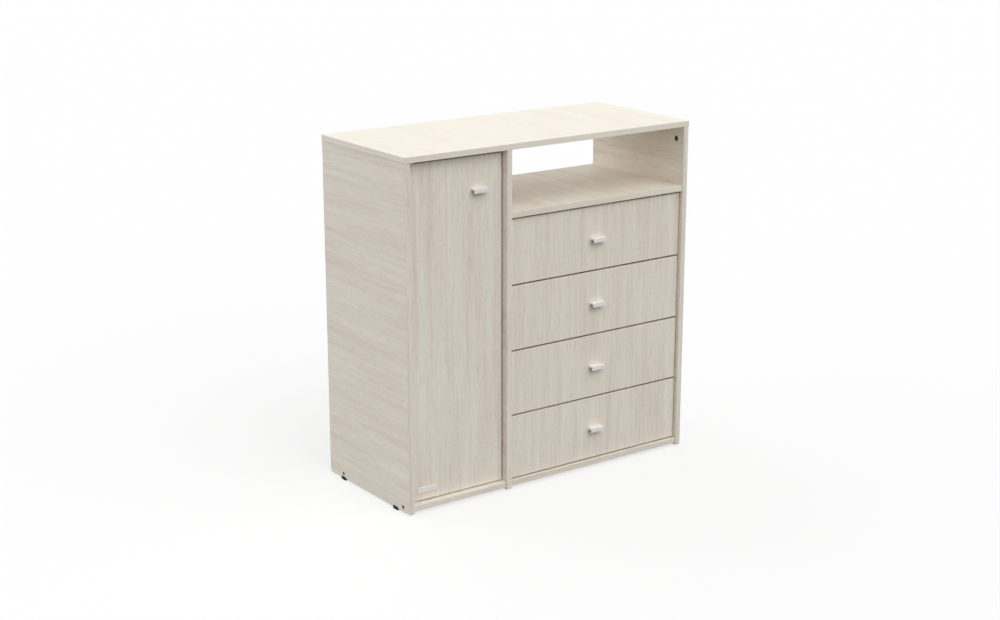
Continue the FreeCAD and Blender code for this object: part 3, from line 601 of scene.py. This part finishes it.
def loose_solids(node: bpy.types.Object) -> list[list[Vector]]:
    """Split a CAD node into its loose solids.

    Args:
        node: the CAD node's object, which is left as it is.

    Returns:
        The corners of each solid, from the lowest place to the highest.
    """
    welded = bmesh.new()
    welded.from_mesh(node.data)
    bmesh.ops.remove_doubles(welded, verts=welded.verts, dist=WELD)
    waiting = set(welded.verts)
    solids = []
    while waiting:
        reach = [waiting.pop()]
        solid = []
        while reach:
            corner = reach.pop()
            solid.append(corner.co.copy())
            near = {edge.other_vert(corner) for edge in corner.link_edges} & waiting
            waiting -= near
            reach.extend(near)
        solids.append(solid)
    welded.free()
    return sorted(solids, key=lambda solid: tuple(round(min(c[i] for c in solid), 5) for i in (2, 0, 1)))


def seat_of(solid: list[Vector], number: int) -> Seat:
    """Find the axis, the head and the turn of a fastener.

    Args:
        solid: the corners of its CAD solid.
        number: its place in its group, which sets how far a round one is turned.

    Returns:
        Its seat; a solid that leans to one side is turned that way.
    """
    low = Vector(min(corner[i] for corner in solid) for i in range(3))
    high = Vector(max(corner[i] for corner in solid) for i in range(3))
    size = high - low
    along = min(range(3), key=lambda i: abs(size[i - 1] - size[i - 2]))
    middle = (low + high) / 2
    ends = {}
    for sign, level in ((1, high[along]), (-1, low[along])):
        ring = [corner - middle for corner in solid if abs(corner[along] - level) < RIM]
        reach = max(math.hypot(spot[along - 1], spot[along - 2]) for spot in ring)
        ends[sign] = (round(reach / MM, 1), len(ring))
    sign = max(ends, key=ends.get)
    axis = Vector((0.0, 0.0, 0.0))
    axis[along] = sign
    head = middle + axis * size[along] / 2
    between = [corner - middle for corner in solid if low[along] + MM < corner[along] < high[along] - MM]
    turn = sum(between, Vector((0.0, 0.0, 0.0)))
    turn[along] = 0.0
    if turn.length < MM:
        turn = Vector((0.0, 0.0, 0.0))
        turn[along - 1] = math.cos(number * GOLDEN_TURN)
        turn[along - 2] = math.sin(number * GOLDEN_TURN)
    return Seat(head, axis, turn.normalized(), size[along] / MM, size[along - 1] / MM)


@dataclass(frozen=True)
class TurnedKind:
    """A fastener turned about its axis: its outline, the ridges on its last stretch, its drive."""

    name: str
    finish: Finish
    outline_mm: tuple[tuple[float, float], ...]
    ridge_mm: float = 0.0
    pitch_mm: float = 0.0
    flutes: int = 0
    rings: int = 6
    sides: int = 16
    point_sharpness: float = 12.0
    drive: Drive = Drive.NONE
    drive_mm: Sizes = (0.0, 0.0, 0.0)
    cavity_mm: Sizes = (0.0, 0.0, 0.0)

    def fits(self, seat: Seat) -> bool:
        """Whether a seat has this fastener's length and width."""
        length = self.outline_mm[-1][1]
        width = 2 * max(radius for radius, _ in self.outline_mm) + 2 * self.ridge_mm * (self.flutes > 1)
        return abs(seat.length_mm - length) < FIT_MM and abs(seat.width_mm - width) < FIT_MM

    def sizes(self) -> dict[str, float]:
        """The named sizes that the tree takes, in metres."""
        named = {}
        for number, (radius, depth) in enumerate(self.outline_mm):
            named[f"Ring {number} Radius"] = radius * MM
            named[f"Ring {number} Depth"] = depth * MM
        named |= {"Ridge Height": self.ridge_mm * MM, "Pitch": self.pitch_mm * MM}
        for labels, sizes in ((("Drive Length", "Drive Width", "Drive Depth"), self.drive_mm),
                              (("Cavity Radius", "Cavity Depth", "Cavity Start"), self.cavity_mm)):
            named |= {label: size * MM for label, size in zip(labels, sizes)}
        return named

    def copies(self, seats: list[Seat]) -> bpy.types.Mesh:
        """Set a copy of the fastener on every seat.

        Args:
            seats: where the copies go.

        Returns:
            A plain mesh of all the copies.
        """
        points = bpy.data.meshes.new(f"{self.name}_seats")
        points.from_pydata([seat.head for seat in seats], [], [])
        for label in SEAT_WAYS:
            ways = points.attributes.new(label, "FLOAT_VECTOR", "POINT")
            ways.data.foreach_set("vector", [share for seat in seats for share in getattr(seat, label)])
        holder = bpy.data.objects.new(points.name, points)
        bpy.context.scene.collection.objects.link(holder)
        modifier = holder.modifiers.new(self.name, "NODES")
        modifier.node_group = self._tree()
        given = {**self.sizes(), "Finish": self.finish.material()}
        for socket in modifier.node_group.interface.items_tree:
            if socket.name in given:
                modifier[socket.identifier] = given[socket.name]
        evaluated = holder.evaluated_get(bpy.context.evaluated_depsgraph_get())
        mesh = bpy.data.meshes.new_from_object(evaluated)
        holder.modifiers.remove(modifier)
        bpy.data.objects.remove(holder)
        for label in SEAT_WAYS:
            mesh.attributes.remove(mesh.attributes[label])
        return mesh

    def _tree(self) -> Tree:
        """The tree that turns one fastener and sets it on points, built once."""
        tree = bpy.data.node_groups.get(self.name)
        if tree is not None:
            return tree
        tree = bpy.data.node_groups.new(self.name, "GeometryNodeTree")
        tree.interface.new_socket("Seats", in_out="INPUT", socket_type="NodeSocketGeometry")
        for label in self.sizes():
            tree.interface.new_socket(label, in_out="INPUT", socket_type="NodeSocketFloat")
        tree.interface.new_socket("Finish", in_out="INPUT", socket_type="NodeSocketMaterial")
        tree.interface.new_socket("Fasteners", in_out="OUTPUT", socket_type="NodeSocketGeometry")
        given = add_node(tree, "NodeGroupInput").outputs
        turned = self._cut(tree, given, self._ridged(tree, given, self._lathe(tree, given)))
        smooth = add_node(tree, "GeometryNodeSetShadeSmooth", {"Geometry": turned})
        angle = add_node(tree, "GeometryNodeInputMeshEdgeAngle")
        sharp = add_node(tree, MATH, {0: angle, 1: SHARP_EDGE}, operation="GREATER_THAN")
        crisp = add_node(tree, "GeometryNodeSetShadeSmooth", {
            "Geometry": smooth, "Selection": sharp, "Shade Smooth": False}, domain="EDGE")
        axis, turn = (add_node(tree, "GeometryNodeInputNamedAttribute", {"Name": label},
                               data_type="FLOAT_VECTOR").outputs["Attribute"] for label in SEAT_WAYS)
        way = add_node(tree, "FunctionNodeAxesToRotation", {"Primary Axis": axis, "Secondary Axis": turn},
                       primary_axis="Z", secondary_axis="X")
        placed = add_node(tree, "GeometryNodeInstanceOnPoints", {
            "Points": given["Seats"], "Instance": crisp, "Rotation": way})
        plain = add_node(tree, "GeometryNodeRealizeInstances", {0: placed})
        finished = add_node(tree, "GeometryNodeSetMaterial", {
            "Geometry": plain, "Material": given["Finish"]})
        add_node(tree, "NodeGroupOutput", {0: finished})
        return tree

    def _lathe(self, tree: Tree, given: Any) -> Socket:
        """Add nodes that sweep the outline round the axis, head up and at the origin.

        Args:
            tree: the fastener's tree.
            given: the tree's named inputs.

        Returns:
            The plain turned shape.
        """
        start = len(self.outline_mm) - 2
        index = add_node(tree, "GeometryNodeInputIndex")
        ring = add_node(tree, MATH, {0: index, 1: start}, operation="MINIMUM")
        share = add_node(tree, MAP_RANGE, {
            "Value": index, "From Min": start, "From Max": start + self.rings})
        late = add_node(tree, MATH, {0: share, 1: self.point_sharpness}, operation="POWER")
        fields = {}
        for label, mix in (("Radius", late), ("Depth", share)):
            pick = add_node(tree, "GeometryNodeIndexSwitch", {"Index": ring}, data_type="FLOAT")
            while len(pick.index_switch_items) <= start:
                pick.index_switch_items.new()
            for number in range(start + 1):
                tree.links.new(given[f"Ring {number} {label}"], pick.inputs[number + 1])
            fields[label] = add_node(tree, "ShaderNodeMix", {
                0: mix, 2: pick, 3: given[f"Ring {start + 1} {label}"]})
        down = add_node(tree, MATH, {0: fields["Depth"], 1: -1.0}, operation="MULTIPLY")
        place = add_node(tree, "ShaderNodeCombineXYZ", {"Z": down})
        line = add_node(tree, "GeometryNodeMeshLine", {"Count": start + 1 + self.rings})
        line = add_node(tree, "GeometryNodeSetPosition", {"Geometry": line, "Position": place})
        path = add_node(tree, "GeometryNodeMeshToCurve", {"Mesh": line})
        circle = add_node(tree, "GeometryNodeCurvePrimitiveCircle", {
            "Resolution": self.sides, "Radius": 1.0})
        swept = add_node(tree, "GeometryNodeCurveToMesh", {
            "Curve": path, "Profile Curve": circle, "Scale": fields["Radius"], "Fill Caps": True})
        return swept.outputs[0]

    def _ridged(self, tree: Tree, given: Any, shape: Socket) -> Socket:
        """Add nodes that raise a thread, or straight flutes, on the last stretch.

        Args:
            tree: the fastener's tree.
            given: the tree's named inputs.
            shape: the plain turned shape.

        Returns:
            The shape with its ridges.
        """
        if not self.ridge_mm:
            return shape
        start = len(self.outline_mm) - 2
        place = add_node(tree, "GeometryNodeInputPosition")
        spot = add_node(tree, "ShaderNodeSeparateXYZ", {0: place}).outputs
        angle = add_node(tree, MATH, {0: spot["Y"], 1: spot["X"]}, operation="ARCTAN2")
        starts = max(self.flutes, 1) / math.tau
        phase = add_node(tree, MATH, {0: angle, 1: starts}, operation="MULTIPLY")
        if not self.flutes:
            climb = add_node(tree, MATH, {0: spot["Z"], 1: given["Pitch"]}, operation="DIVIDE")
            phase = add_node(tree, MATH, {0: phase, 1: climb}, operation="ADD")
        # The wave climbs to a half, so its lift is doubled
        wave = add_node(tree, MATH, {0: phase, 1: 0.5}, operation="PINGPONG")
        depth = add_node(tree, MATH, {0: spot["Z"], 1: -1.0}, operation="MULTIPLY")
        full = add_node(tree, MATH, {0: given[f"Ring {start} Depth"], 1: RUN_OUT}, operation="ADD")
        raised = add_node(tree, MAP_RANGE, {
            "Value": depth, "From Min": given[f"Ring {start} Depth"], "From Max": full, "To Max": 2.0})
        share = add_node(tree, MATH, {
            0: given["Ridge Height"], 1: given[f"Ring {start} Radius"]}, operation="DIVIDE")
        lift = add_node(tree, MATH, {0: wave, 1: raised}, operation="MULTIPLY")
        grow = add_node(tree, MATH, {0: lift, 1: share, 2: 1.0}, operation="MULTIPLY_ADD")
        stretch = add_node(tree, "ShaderNodeCombineXYZ", {"X": grow, "Y": grow, "Z": 1.0})
        moved = add_node(tree, VECTOR_MATH, {0: place, 1: stretch}, operation="MULTIPLY")
        ridged = add_node(tree, "GeometryNodeSetPosition", {"Geometry": shape, "Position": moved})
        return ridged.outputs[0]

    def _cut(self, tree: Tree, given: Any, shape: Socket) -> Socket:
        """Add nodes that sink the drive into the head, and a cavity into the side.

        Args:
            tree: the fastener's tree.
            given: the tree's named inputs.
            shape: the turned shape.

        Returns:
            The shape with its recesses.
        """
        cutters = []
        twice = add_node(tree, MATH, {0: given["Drive Depth"], 1: 2.0}, operation="MULTIPLY")
        if self.drive is Drive.CROSS:
            wing = (given["Drive Length"], given["Drive Width"])
            for across, along in (wing, wing[::-1]):
                size = add_node(tree, "ShaderNodeCombineXYZ", {0: across, 1: along, 2: twice})
                cutters.append(add_node(tree, "GeometryNodeMeshCube", {"Size": size}))
        elif self.drive is Drive.HEXAGON:
            radius = add_node(tree, MATH, {0: given["Drive Length"], 1: math.sqrt(3)}, operation="DIVIDE")
            cutters.append(add_node(tree, "GeometryNodeMeshCylinder", {
                "Vertices": 6, "Radius": radius, "Depth": twice}))
        if any(self.cavity_mm):
            length = given["Ring 1 Radius"]
            bore = add_node(tree, "GeometryNodeMeshCylinder", {
                "Vertices": self.sides, "Radius": given["Cavity Radius"], "Depth": length})
            middle = add_node(tree, MATH, {0: length, 1: 0.5, 2: given["Cavity Start"]},
                              operation="MULTIPLY_ADD")
            down = add_node(tree, MATH, {0: given["Cavity Depth"], 1: -1.0}, operation="MULTIPLY")
            place = add_node(tree, "ShaderNodeCombineXYZ", {0: middle, 2: down})
            cutters.append(add_node(tree, "GeometryNodeTransform", {
                "Geometry": bore, "Translation": place, "Rotation": (0.0, math.pi / 2, 0.0)}))
        for cutter in cutters:
            shape = add_node(tree, "GeometryNodeMeshBoolean", {"Mesh 1": shape, "Mesh 2": cutter},
                             operation="DIFFERENCE", solver="EXACT").outputs["Mesh"]
        return shape


def wood_screw(length_mm: float) -> TurnedKind:
    """A countersunk chipboard screw with a cross drive.

    Args:
        length_mm: from the face of its head to its point.

    Returns:
        The kind of screw.
    """
    head, shank, pitch, rings_in_turn = 2.2, 1.75, 2.0, 5
    plain = head + length_mm / 5
    return TurnedKind(
        f"chipboard_screw_{length_mm:.0f}mm", ZINC_STEEL,
        ((2.9, 0.0), (3.2, 0.2), (shank, head), (shank, plain), (1.2, plain + 0.4), (0.12, length_mm)),
        ridge_mm=0.55, pitch_mm=pitch, rings=int((length_mm - plain) / pitch * rings_in_turn),
        drive=Drive.CROSS, drive_mm=(3.6, 0.9, 1.2))


HANDLE_SCREW = TurnedKind(
    "pan_head_screw", ZINC_STEEL,
    ((2.2, 0.0), (3.3, 0.4), (3.9, 1.2), (4.0, 2.4), (2.0, 2.42), (1.6, 2.9), (1.2, 24.9)),
    ridge_mm=0.4, pitch_mm=1.0, rings=88, point_sharpness=30.0, drive=Drive.CROSS, drive_mm=(4.4, 1.0, 1.5))
CONFIRMAT = TurnedKind(
    "joining_screw", BLACK_STEEL,
    ((4.2, 0.0), (4.5, 0.3), (3.45, 3.0), (3.45, 15.8), (1.85, 16.2), (0.5, 48.0)),
    ridge_mm=0.65, pitch_mm=3.0, rings=54, drive=Drive.HEXAGON, drive_mm=(4.0, 4.0, 2.5))
NAIL = TurnedKind(
    "flat_head_nail", ZINC_STEEL,
    ((1.8, 0.0), (2.0, 0.2), (2.0, 0.75), (0.8, 0.8), (0.8, 1.0), (0.08, 18.0)), rings=8, sides=12)
CAM_LOCK = TurnedKind(
    "cam_lock", CAST_ZINC, ((7.1, 0.0), (7.5, 0.4), (7.5, 12.1), (7.1, 12.5)), rings=1, sides=32,
    drive=Drive.CROSS, drive_mm=(9.0, 1.6, 2.0), cavity_mm=(4.0, 7.3, -2.1))
CAM_BOLT = TurnedKind(
    "cam_bolt", ZINC_STEEL,
    ((2.4, 0.0), (3.4, 0.9), (3.4, 3.1), (2.0, 4.0), (2.0, 37.3), (2.05, 37.6), (1.4, 48.5)),
    ridge_mm=0.45, pitch_mm=2.5, rings=24)
DOWEL = TurnedKind(
    "fluted_dowel", BEECH, ((3.0, 0.0), (3.7, 1.2), (3.0, 30.0)), ridge_mm=0.3, flutes=12, rings=16,
    sides=24, point_sharpness=40.0)
SHELF_PIN = TurnedKind(
    "shelf_pin", ZINC_STEEL, ((2.0, 0.0), (2.5, 0.5), (2.5, 16.4), (2.0, 17.0)), rings=1, sides=20)
KINDS = (wood_screw(13.0), wood_screw(22.0), wood_screw(40.0), HANDLE_SCREW, CONFIRMAT, NAIL, CAM_LOCK,
         CAM_BOLT, DOWEL, SHELF_PIN)


def refit(node: bpy.types.Object, body: str) -> None:
    """Replace a CAD node of plain fasteners by detailed ones.

    Args:
        node: the CAD node's object.
        body: the body that the fasteners move with.
    """
    groups: dict[TurnedKind, list[Seat]] = {}
    for number, solid in enumerate(loose_solids(node)):
        seat = seat_of(solid, number)
        kind = next(kind for kind in KINDS if kind.fits(seat))
        groups.setdefault(kind, []).append(seat)
    joined = bmesh.new()
    mesh = bpy.data.meshes.new(f"{node.name}_turned")
    for kind, seats in groups.items():
        first = len(joined.faces)
        joined.from_mesh(kind.copies(seats))
        material = kind.finish.material()
        if material.name not in mesh.materials:
            mesh.materials.append(material)
        joined.faces.ensure_lookup_table()
        for face in joined.faces[first:]:
            face.material_index = mesh.materials.find(material.name)
    bmesh.ops.recalc_face_normals(joined, faces=joined.faces)
    joined.to_mesh(mesh)
    joined.free()
    piece = bpy.data.objects.new(mesh.name, mesh)
    bpy.context.scene.collection.objects.link(piece)
    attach(piece, body)
    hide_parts(node.name)
    log.info("%s: %s", piece.name, {kind.name: len(seats) for kind, seats in groups.items()})


@dataclass
class Carcass:
    """The fixed boards and what is screwed to them."""

    nodes: dict[str, bpy.types.Object]
    uprights: tuple[str, ...] = ("left_side_panel", "centre_divider", "right_side_panel")
    levels: tuple[str, ...] = ("wardrobe_floor", "chest_floor", "niche_shelf", "wardrobe_shelf")
    backs: tuple[str, ...] = ("wardrobe_back", "chest_back")

    def dress(self) -> None:
        """Finish the boards, the backs and the fittings."""
        dress(self.nodes["top_panel"], board_finish("top_panel", FAINT_PRINT, (Side.REAR,)))
        for name in self.uprights:
            dress(self.nodes[name], board_finish(name, UPRIGHT_PRINT, (Side.REAR, Side.UNDER)))
        for name in self.levels:
            dress(self.nodes[name], board_finish(name, LYING_PRINT, (Side.REAR,)))
        for name in self.backs:
            dress(self.nodes[name], back_finish(name, Side.FRONT))
        for name, finish in (
            ("feet", BLACK_PP), ("left_drawer_rails", RAIL_ACETAL), ("right_drawer_rails", RAIL_ACETAL),
            ("hanging_rod", CHROME), ("rod_sockets", WHITE_NYLON), ("pivot_bushes", WHITE_NYLON),
            ("magnetic_catch", CATCH_STYRENE),
        ):
            dress(self.nodes[name], finish)
        for name, slot in (
            ("shelf_pins", "zinc_steel"), ("socket_screws", "zinc_steel"),
            ("confirmat_screws", "black_steel"), ("cam_locks", "grey_zinc"), ("cam_bolts", "zinc_steel"),
            ("dowels", "beech"), ("back_nails", "zinc_steel"), ("rail_screws", "zinc_steel"),
        ):
            refit(self.nodes[name], "carcass")


@dataclass
class CatchMouth:
    """What shows in the mouth of the catch: a magnet between two steel poles, a hair proud."""

    pole_mm: float = 1.6
    magnet_mm: float = 5.2
    length_mm: float = 32.0
    depth_mm: float = 4.0
    proud_mm: float = 0.2
    magnet_proud_mm: float = 0.1
    round_mm: float = 0.08

    def build(self) -> None:
        """Make the poles and the magnet, and fix them in the housing."""
        pole_shift = (self.magnet_mm + self.pole_mm) / 2
        poles = [(shift, self.pole_mm, self.proud_mm) for shift in (-pole_shift, pole_shift)]
        magnet = [(0.0, self.magnet_mm, self.magnet_proud_mm)]
        for name, bars, finish, slot in (
            ("catch_poles", poles, ZINC_STEEL, "zinc_steel"),
            ("catch_magnet", magnet, FERRITE, "black_steel"),
        ):
            piece = bpy.data.objects.new(name, self._bars(name, bars))
            piece.data.materials.append(finish.material())
            bpy.context.scene.collection.objects.link(piece)
            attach(piece, "carcass")
            log.info("%s: %s", name, finish.name)

    def _bars(self, name: str, bars: list[Sizes]) -> bpy.types.Mesh:
        """Make upright bars with rounded edges, sunk into the front of the housing.

        Args:
            name: what the mesh is called.
            bars: for each bar, its shift to the right of the middle, its width, and how far it stands proud.

        Returns:
            The mesh of the bars, in place.
        """
        low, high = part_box("magnetic_catch")
        middle = (low + high) / 2
        shape = bmesh.new()
        for shift, width, proud in bars:
            corners = bmesh.ops.create_cube(shape, size=1.0)["verts"]
            size = Vector((width, self.depth_mm + proud, self.length_mm)) * MM
            bmesh.ops.scale(shape, vec=size, verts=corners)
            place = Vector((middle.x + shift * MM, low.y + (self.depth_mm - proud) / 2 * MM, middle.z))
            bmesh.ops.translate(shape, vec=place, verts=corners)
        bmesh.ops.bevel(shape, geom=shape.edges, offset=self.round_mm * MM, segments=2, affect="EDGES",
                        profile=0.5)
        mesh = bpy.data.meshes.new(name)
        shape.to_mesh(mesh)
        shape.free()
        return mesh


@dataclass
class Door:
    """The wardrobe's door with its pull and its plain name plate."""

    nodes: dict[str, bpy.types.Object]

    def dress(self) -> None:
        """Finish the door's pieces."""
        dress(self.nodes["door_panel"], board_finish("door_panel", UPRIGHT_PRINT))
        for name, finish in (
            ("door_handle", pull_finish("door_handle")), ("name_plate", PLATE_ALUMINIUM),
            ("strike_plate", ZINC_STEEL), ("pivot_pins", ZINC_STEEL),
        ):
            dress(self.nodes[name], finish)
        refit(self.nodes["door_screws"], "door")


@dataclass
class Drawer:
    """One drawer: its front, its box and its pull."""

    nodes: dict[str, bpy.types.Object]
    number: int

    def dress(self) -> None:
        """Finish the drawer's pieces."""
        name = f"drawer_{self.number}"
        dress(self.nodes[f"{name}_front"], board_finish(f"{name}_front", UPRIGHT_PRINT, (Side.UNDER,)))
        for part in ("left_side", "right_side", "back"):
            board = f"{name}_{part}"
            dress(self.nodes[board], board_finish(board, LYING_PRINT, (Side.UNDER,)))
        dress(self.nodes[f"{name}_bottom"], back_finish(f"{name}_bottom", Side.TOP))
        dress(self.nodes[f"{name}_handle"], pull_finish(f"{name}_handle"))
        refit(self.nodes[f"{name}_fasteners"], name)


@dataclass(frozen=True)
class SoftBox:
    """A wide soft light far off: its heading from +X towards +Y, how high it stands, and its strength."""

    heading_deg: float
    rise_deg: float
    strength: float

    def way(self) -> Vector:
        """The unit vector that points to the light."""
        heading, rise = math.radians(self.heading_deg), math.radians(self.rise_deg)
        level = math.cos(rise)
        return Vector((level * math.cos(heading), level * math.sin(heading), math.sin(rise)))


@dataclass
class Studio:
    """A white floor under soft lights, and the camera of the photograph."""

    eye: Vector = field(default_factory=lambda: Vector((-2.6643, -3.6509, 1.6936)))
    look: Vector = field(default_factory=lambda: Vector((0.56305, 0.78064, -0.27126)))
    focal_px: float = 1765.44
    image_width_px: int = 1000
    sensor_mm: float = 36.0
    lights: tuple[SoftBox, ...] = (
        SoftBox(-90.0, 40.0, 2.18), SoftBox(-90.0, 65.0, 1.22), SoftBox(-45.0, 40.0, 0.88),
        SoftBox(180.0, 12.0, 1.34), SoftBox(135.0, 12.0, 2.2), SoftBox(90.0, 40.0, 1.9),
        SoftBox(0.0, 12.0, 0.6))
    light_sharpness: float = 8.0
    floor_reach: float = 40.0
    floor_seen: str = "f4f4f4"
    floor_bounce: str = "808080"
    floor_glow: float = 0.72

    def build(self) -> None:
        """Make the camera, the dome and the floor."""
        scene = bpy.context.scene
        scene.view_settings.view_transform = "Standard"
        lens = bpy.data.cameras.new("camera")
        lens.sensor_width = self.sensor_mm
        lens.lens = self.focal_px / self.image_width_px * self.sensor_mm
        camera = bpy.data.objects.new("camera", lens)
        camera.location = self.eye
        camera.rotation_euler = self.look.to_track_quat("-Z", "Y").to_euler()
        scene.collection.objects.link(camera)
        scene.camera = camera
        scene.world = self._dome()
        floor = self._floor()
        scene.collection.objects.link(floor)

    def _seen_white(self, tree: Tree) -> Socket:
        """Add nodes that tell rays which see the background as white.

        Args:
            tree: a material's or the world's tree.

        Returns:
            One for camera, glossy and transmission rays, otherwise zero.
        """
        path = add_node(tree, "ShaderNodeLightPath")
        seen = add_node(tree, MATH, {
            0: path.outputs["Is Camera Ray"], 1: path.outputs["Is Glossy Ray"]}, operation="MAXIMUM")
        seen = add_node(tree, MATH, {0: seen, 1: path.outputs["Is Transmission Ray"]}, operation="MAXIMUM")
        return seen.outputs[0]

    def _dome(self) -> bpy.types.World:
        """The soft boxes as a glow all round; what sees them directly sees white."""
        world = bpy.data.worlds.new("studio_dome")
        world.use_nodes = True
        tree = world.node_tree
        tree.nodes.clear()
        way = add_node(tree, "ShaderNodeTexCoord").outputs["Generated"]
        total = 0.0
        for box in self.lights:
            near = add_node(tree, VECTOR_MATH, {0: way, 1: box.way()}, operation="DOT_PRODUCT")
            near = add_node(tree, MATH, {0: near.outputs["Value"], 1: 0.0}, operation="MAXIMUM")
            near = add_node(tree, MATH, {0: near, 1: self.light_sharpness}, operation="POWER")
            total = add_node(tree, MATH, {0: near, 1: box.strength, 2: total}, operation="MULTIPLY_ADD")
        light = add_node(tree, "ShaderNodeBackground", {"Color": WHITE, "Strength": total})
        white = add_node(tree, "ShaderNodeBackground", {"Color": WHITE, "Strength": 1.0})
        both = add_node(tree, "ShaderNodeMixShader", {0: self._seen_white(tree), 1: light, 2: white})
        add_node(tree, "ShaderNodeOutputWorld", {"Surface": both})
        return world

    def _floor(self) -> bpy.types.Object:
        """A wide floor, white where no shadow falls, that glows a little so that shadows stay pale."""
        mesh = bpy.data.meshes.new("floor")
        reach = self.floor_reach
        corners = [(-reach, -reach, 0), (reach, -reach, 0), (reach, reach, 0), (-reach, reach, 0)]
        mesh.from_pydata(corners, [], [(0, 1, 2, 3)])
        paint = bpy.data.materials.new("floor_paint")
        paint.use_nodes = True
        tree = paint.node_tree
        tree.nodes.clear()
        seen = self._seen_white(tree)
        tone = add_node(tree, "ShaderNodeMix", {
            0: seen, 6: linear(self.floor_bounce), 7: linear(self.floor_seen)}, data_type="RGBA")
        matt = add_node(tree, "ShaderNodeBsdfDiffuse", {"Color": tone.outputs[2]})
        glow = add_node(tree, "ShaderNodeEmission", {"Color": WHITE, "Strength": 1.0})
        share = add_node(tree, MATH, {0: seen, 1: self.floor_glow}, operation="MULTIPLY")
        both = add_node(tree, "ShaderNodeMixShader", {0: share, 1: matt, 2: glow})
        add_node(tree, "ShaderNodeOutputMaterial", {"Surface": both})
        mesh.materials.append(paint)
        return bpy.data.objects.new("floor", mesh)


def main() -> None:
    """Load the frame and dress each sub-assembly in turn."""
    logging.basicConfig(level=logging.INFO, format="%(name)s: %(message)s", force=True)
    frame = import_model()
    nodes = frame["nodes"]
    Studio().build()
    Carcass(nodes).dress()
    CatchMouth().build()
    Door(nodes).dress()
    for number in DRAWERS:
        Drawer(nodes, number).dress()


if __name__ == "__main__":
    main()
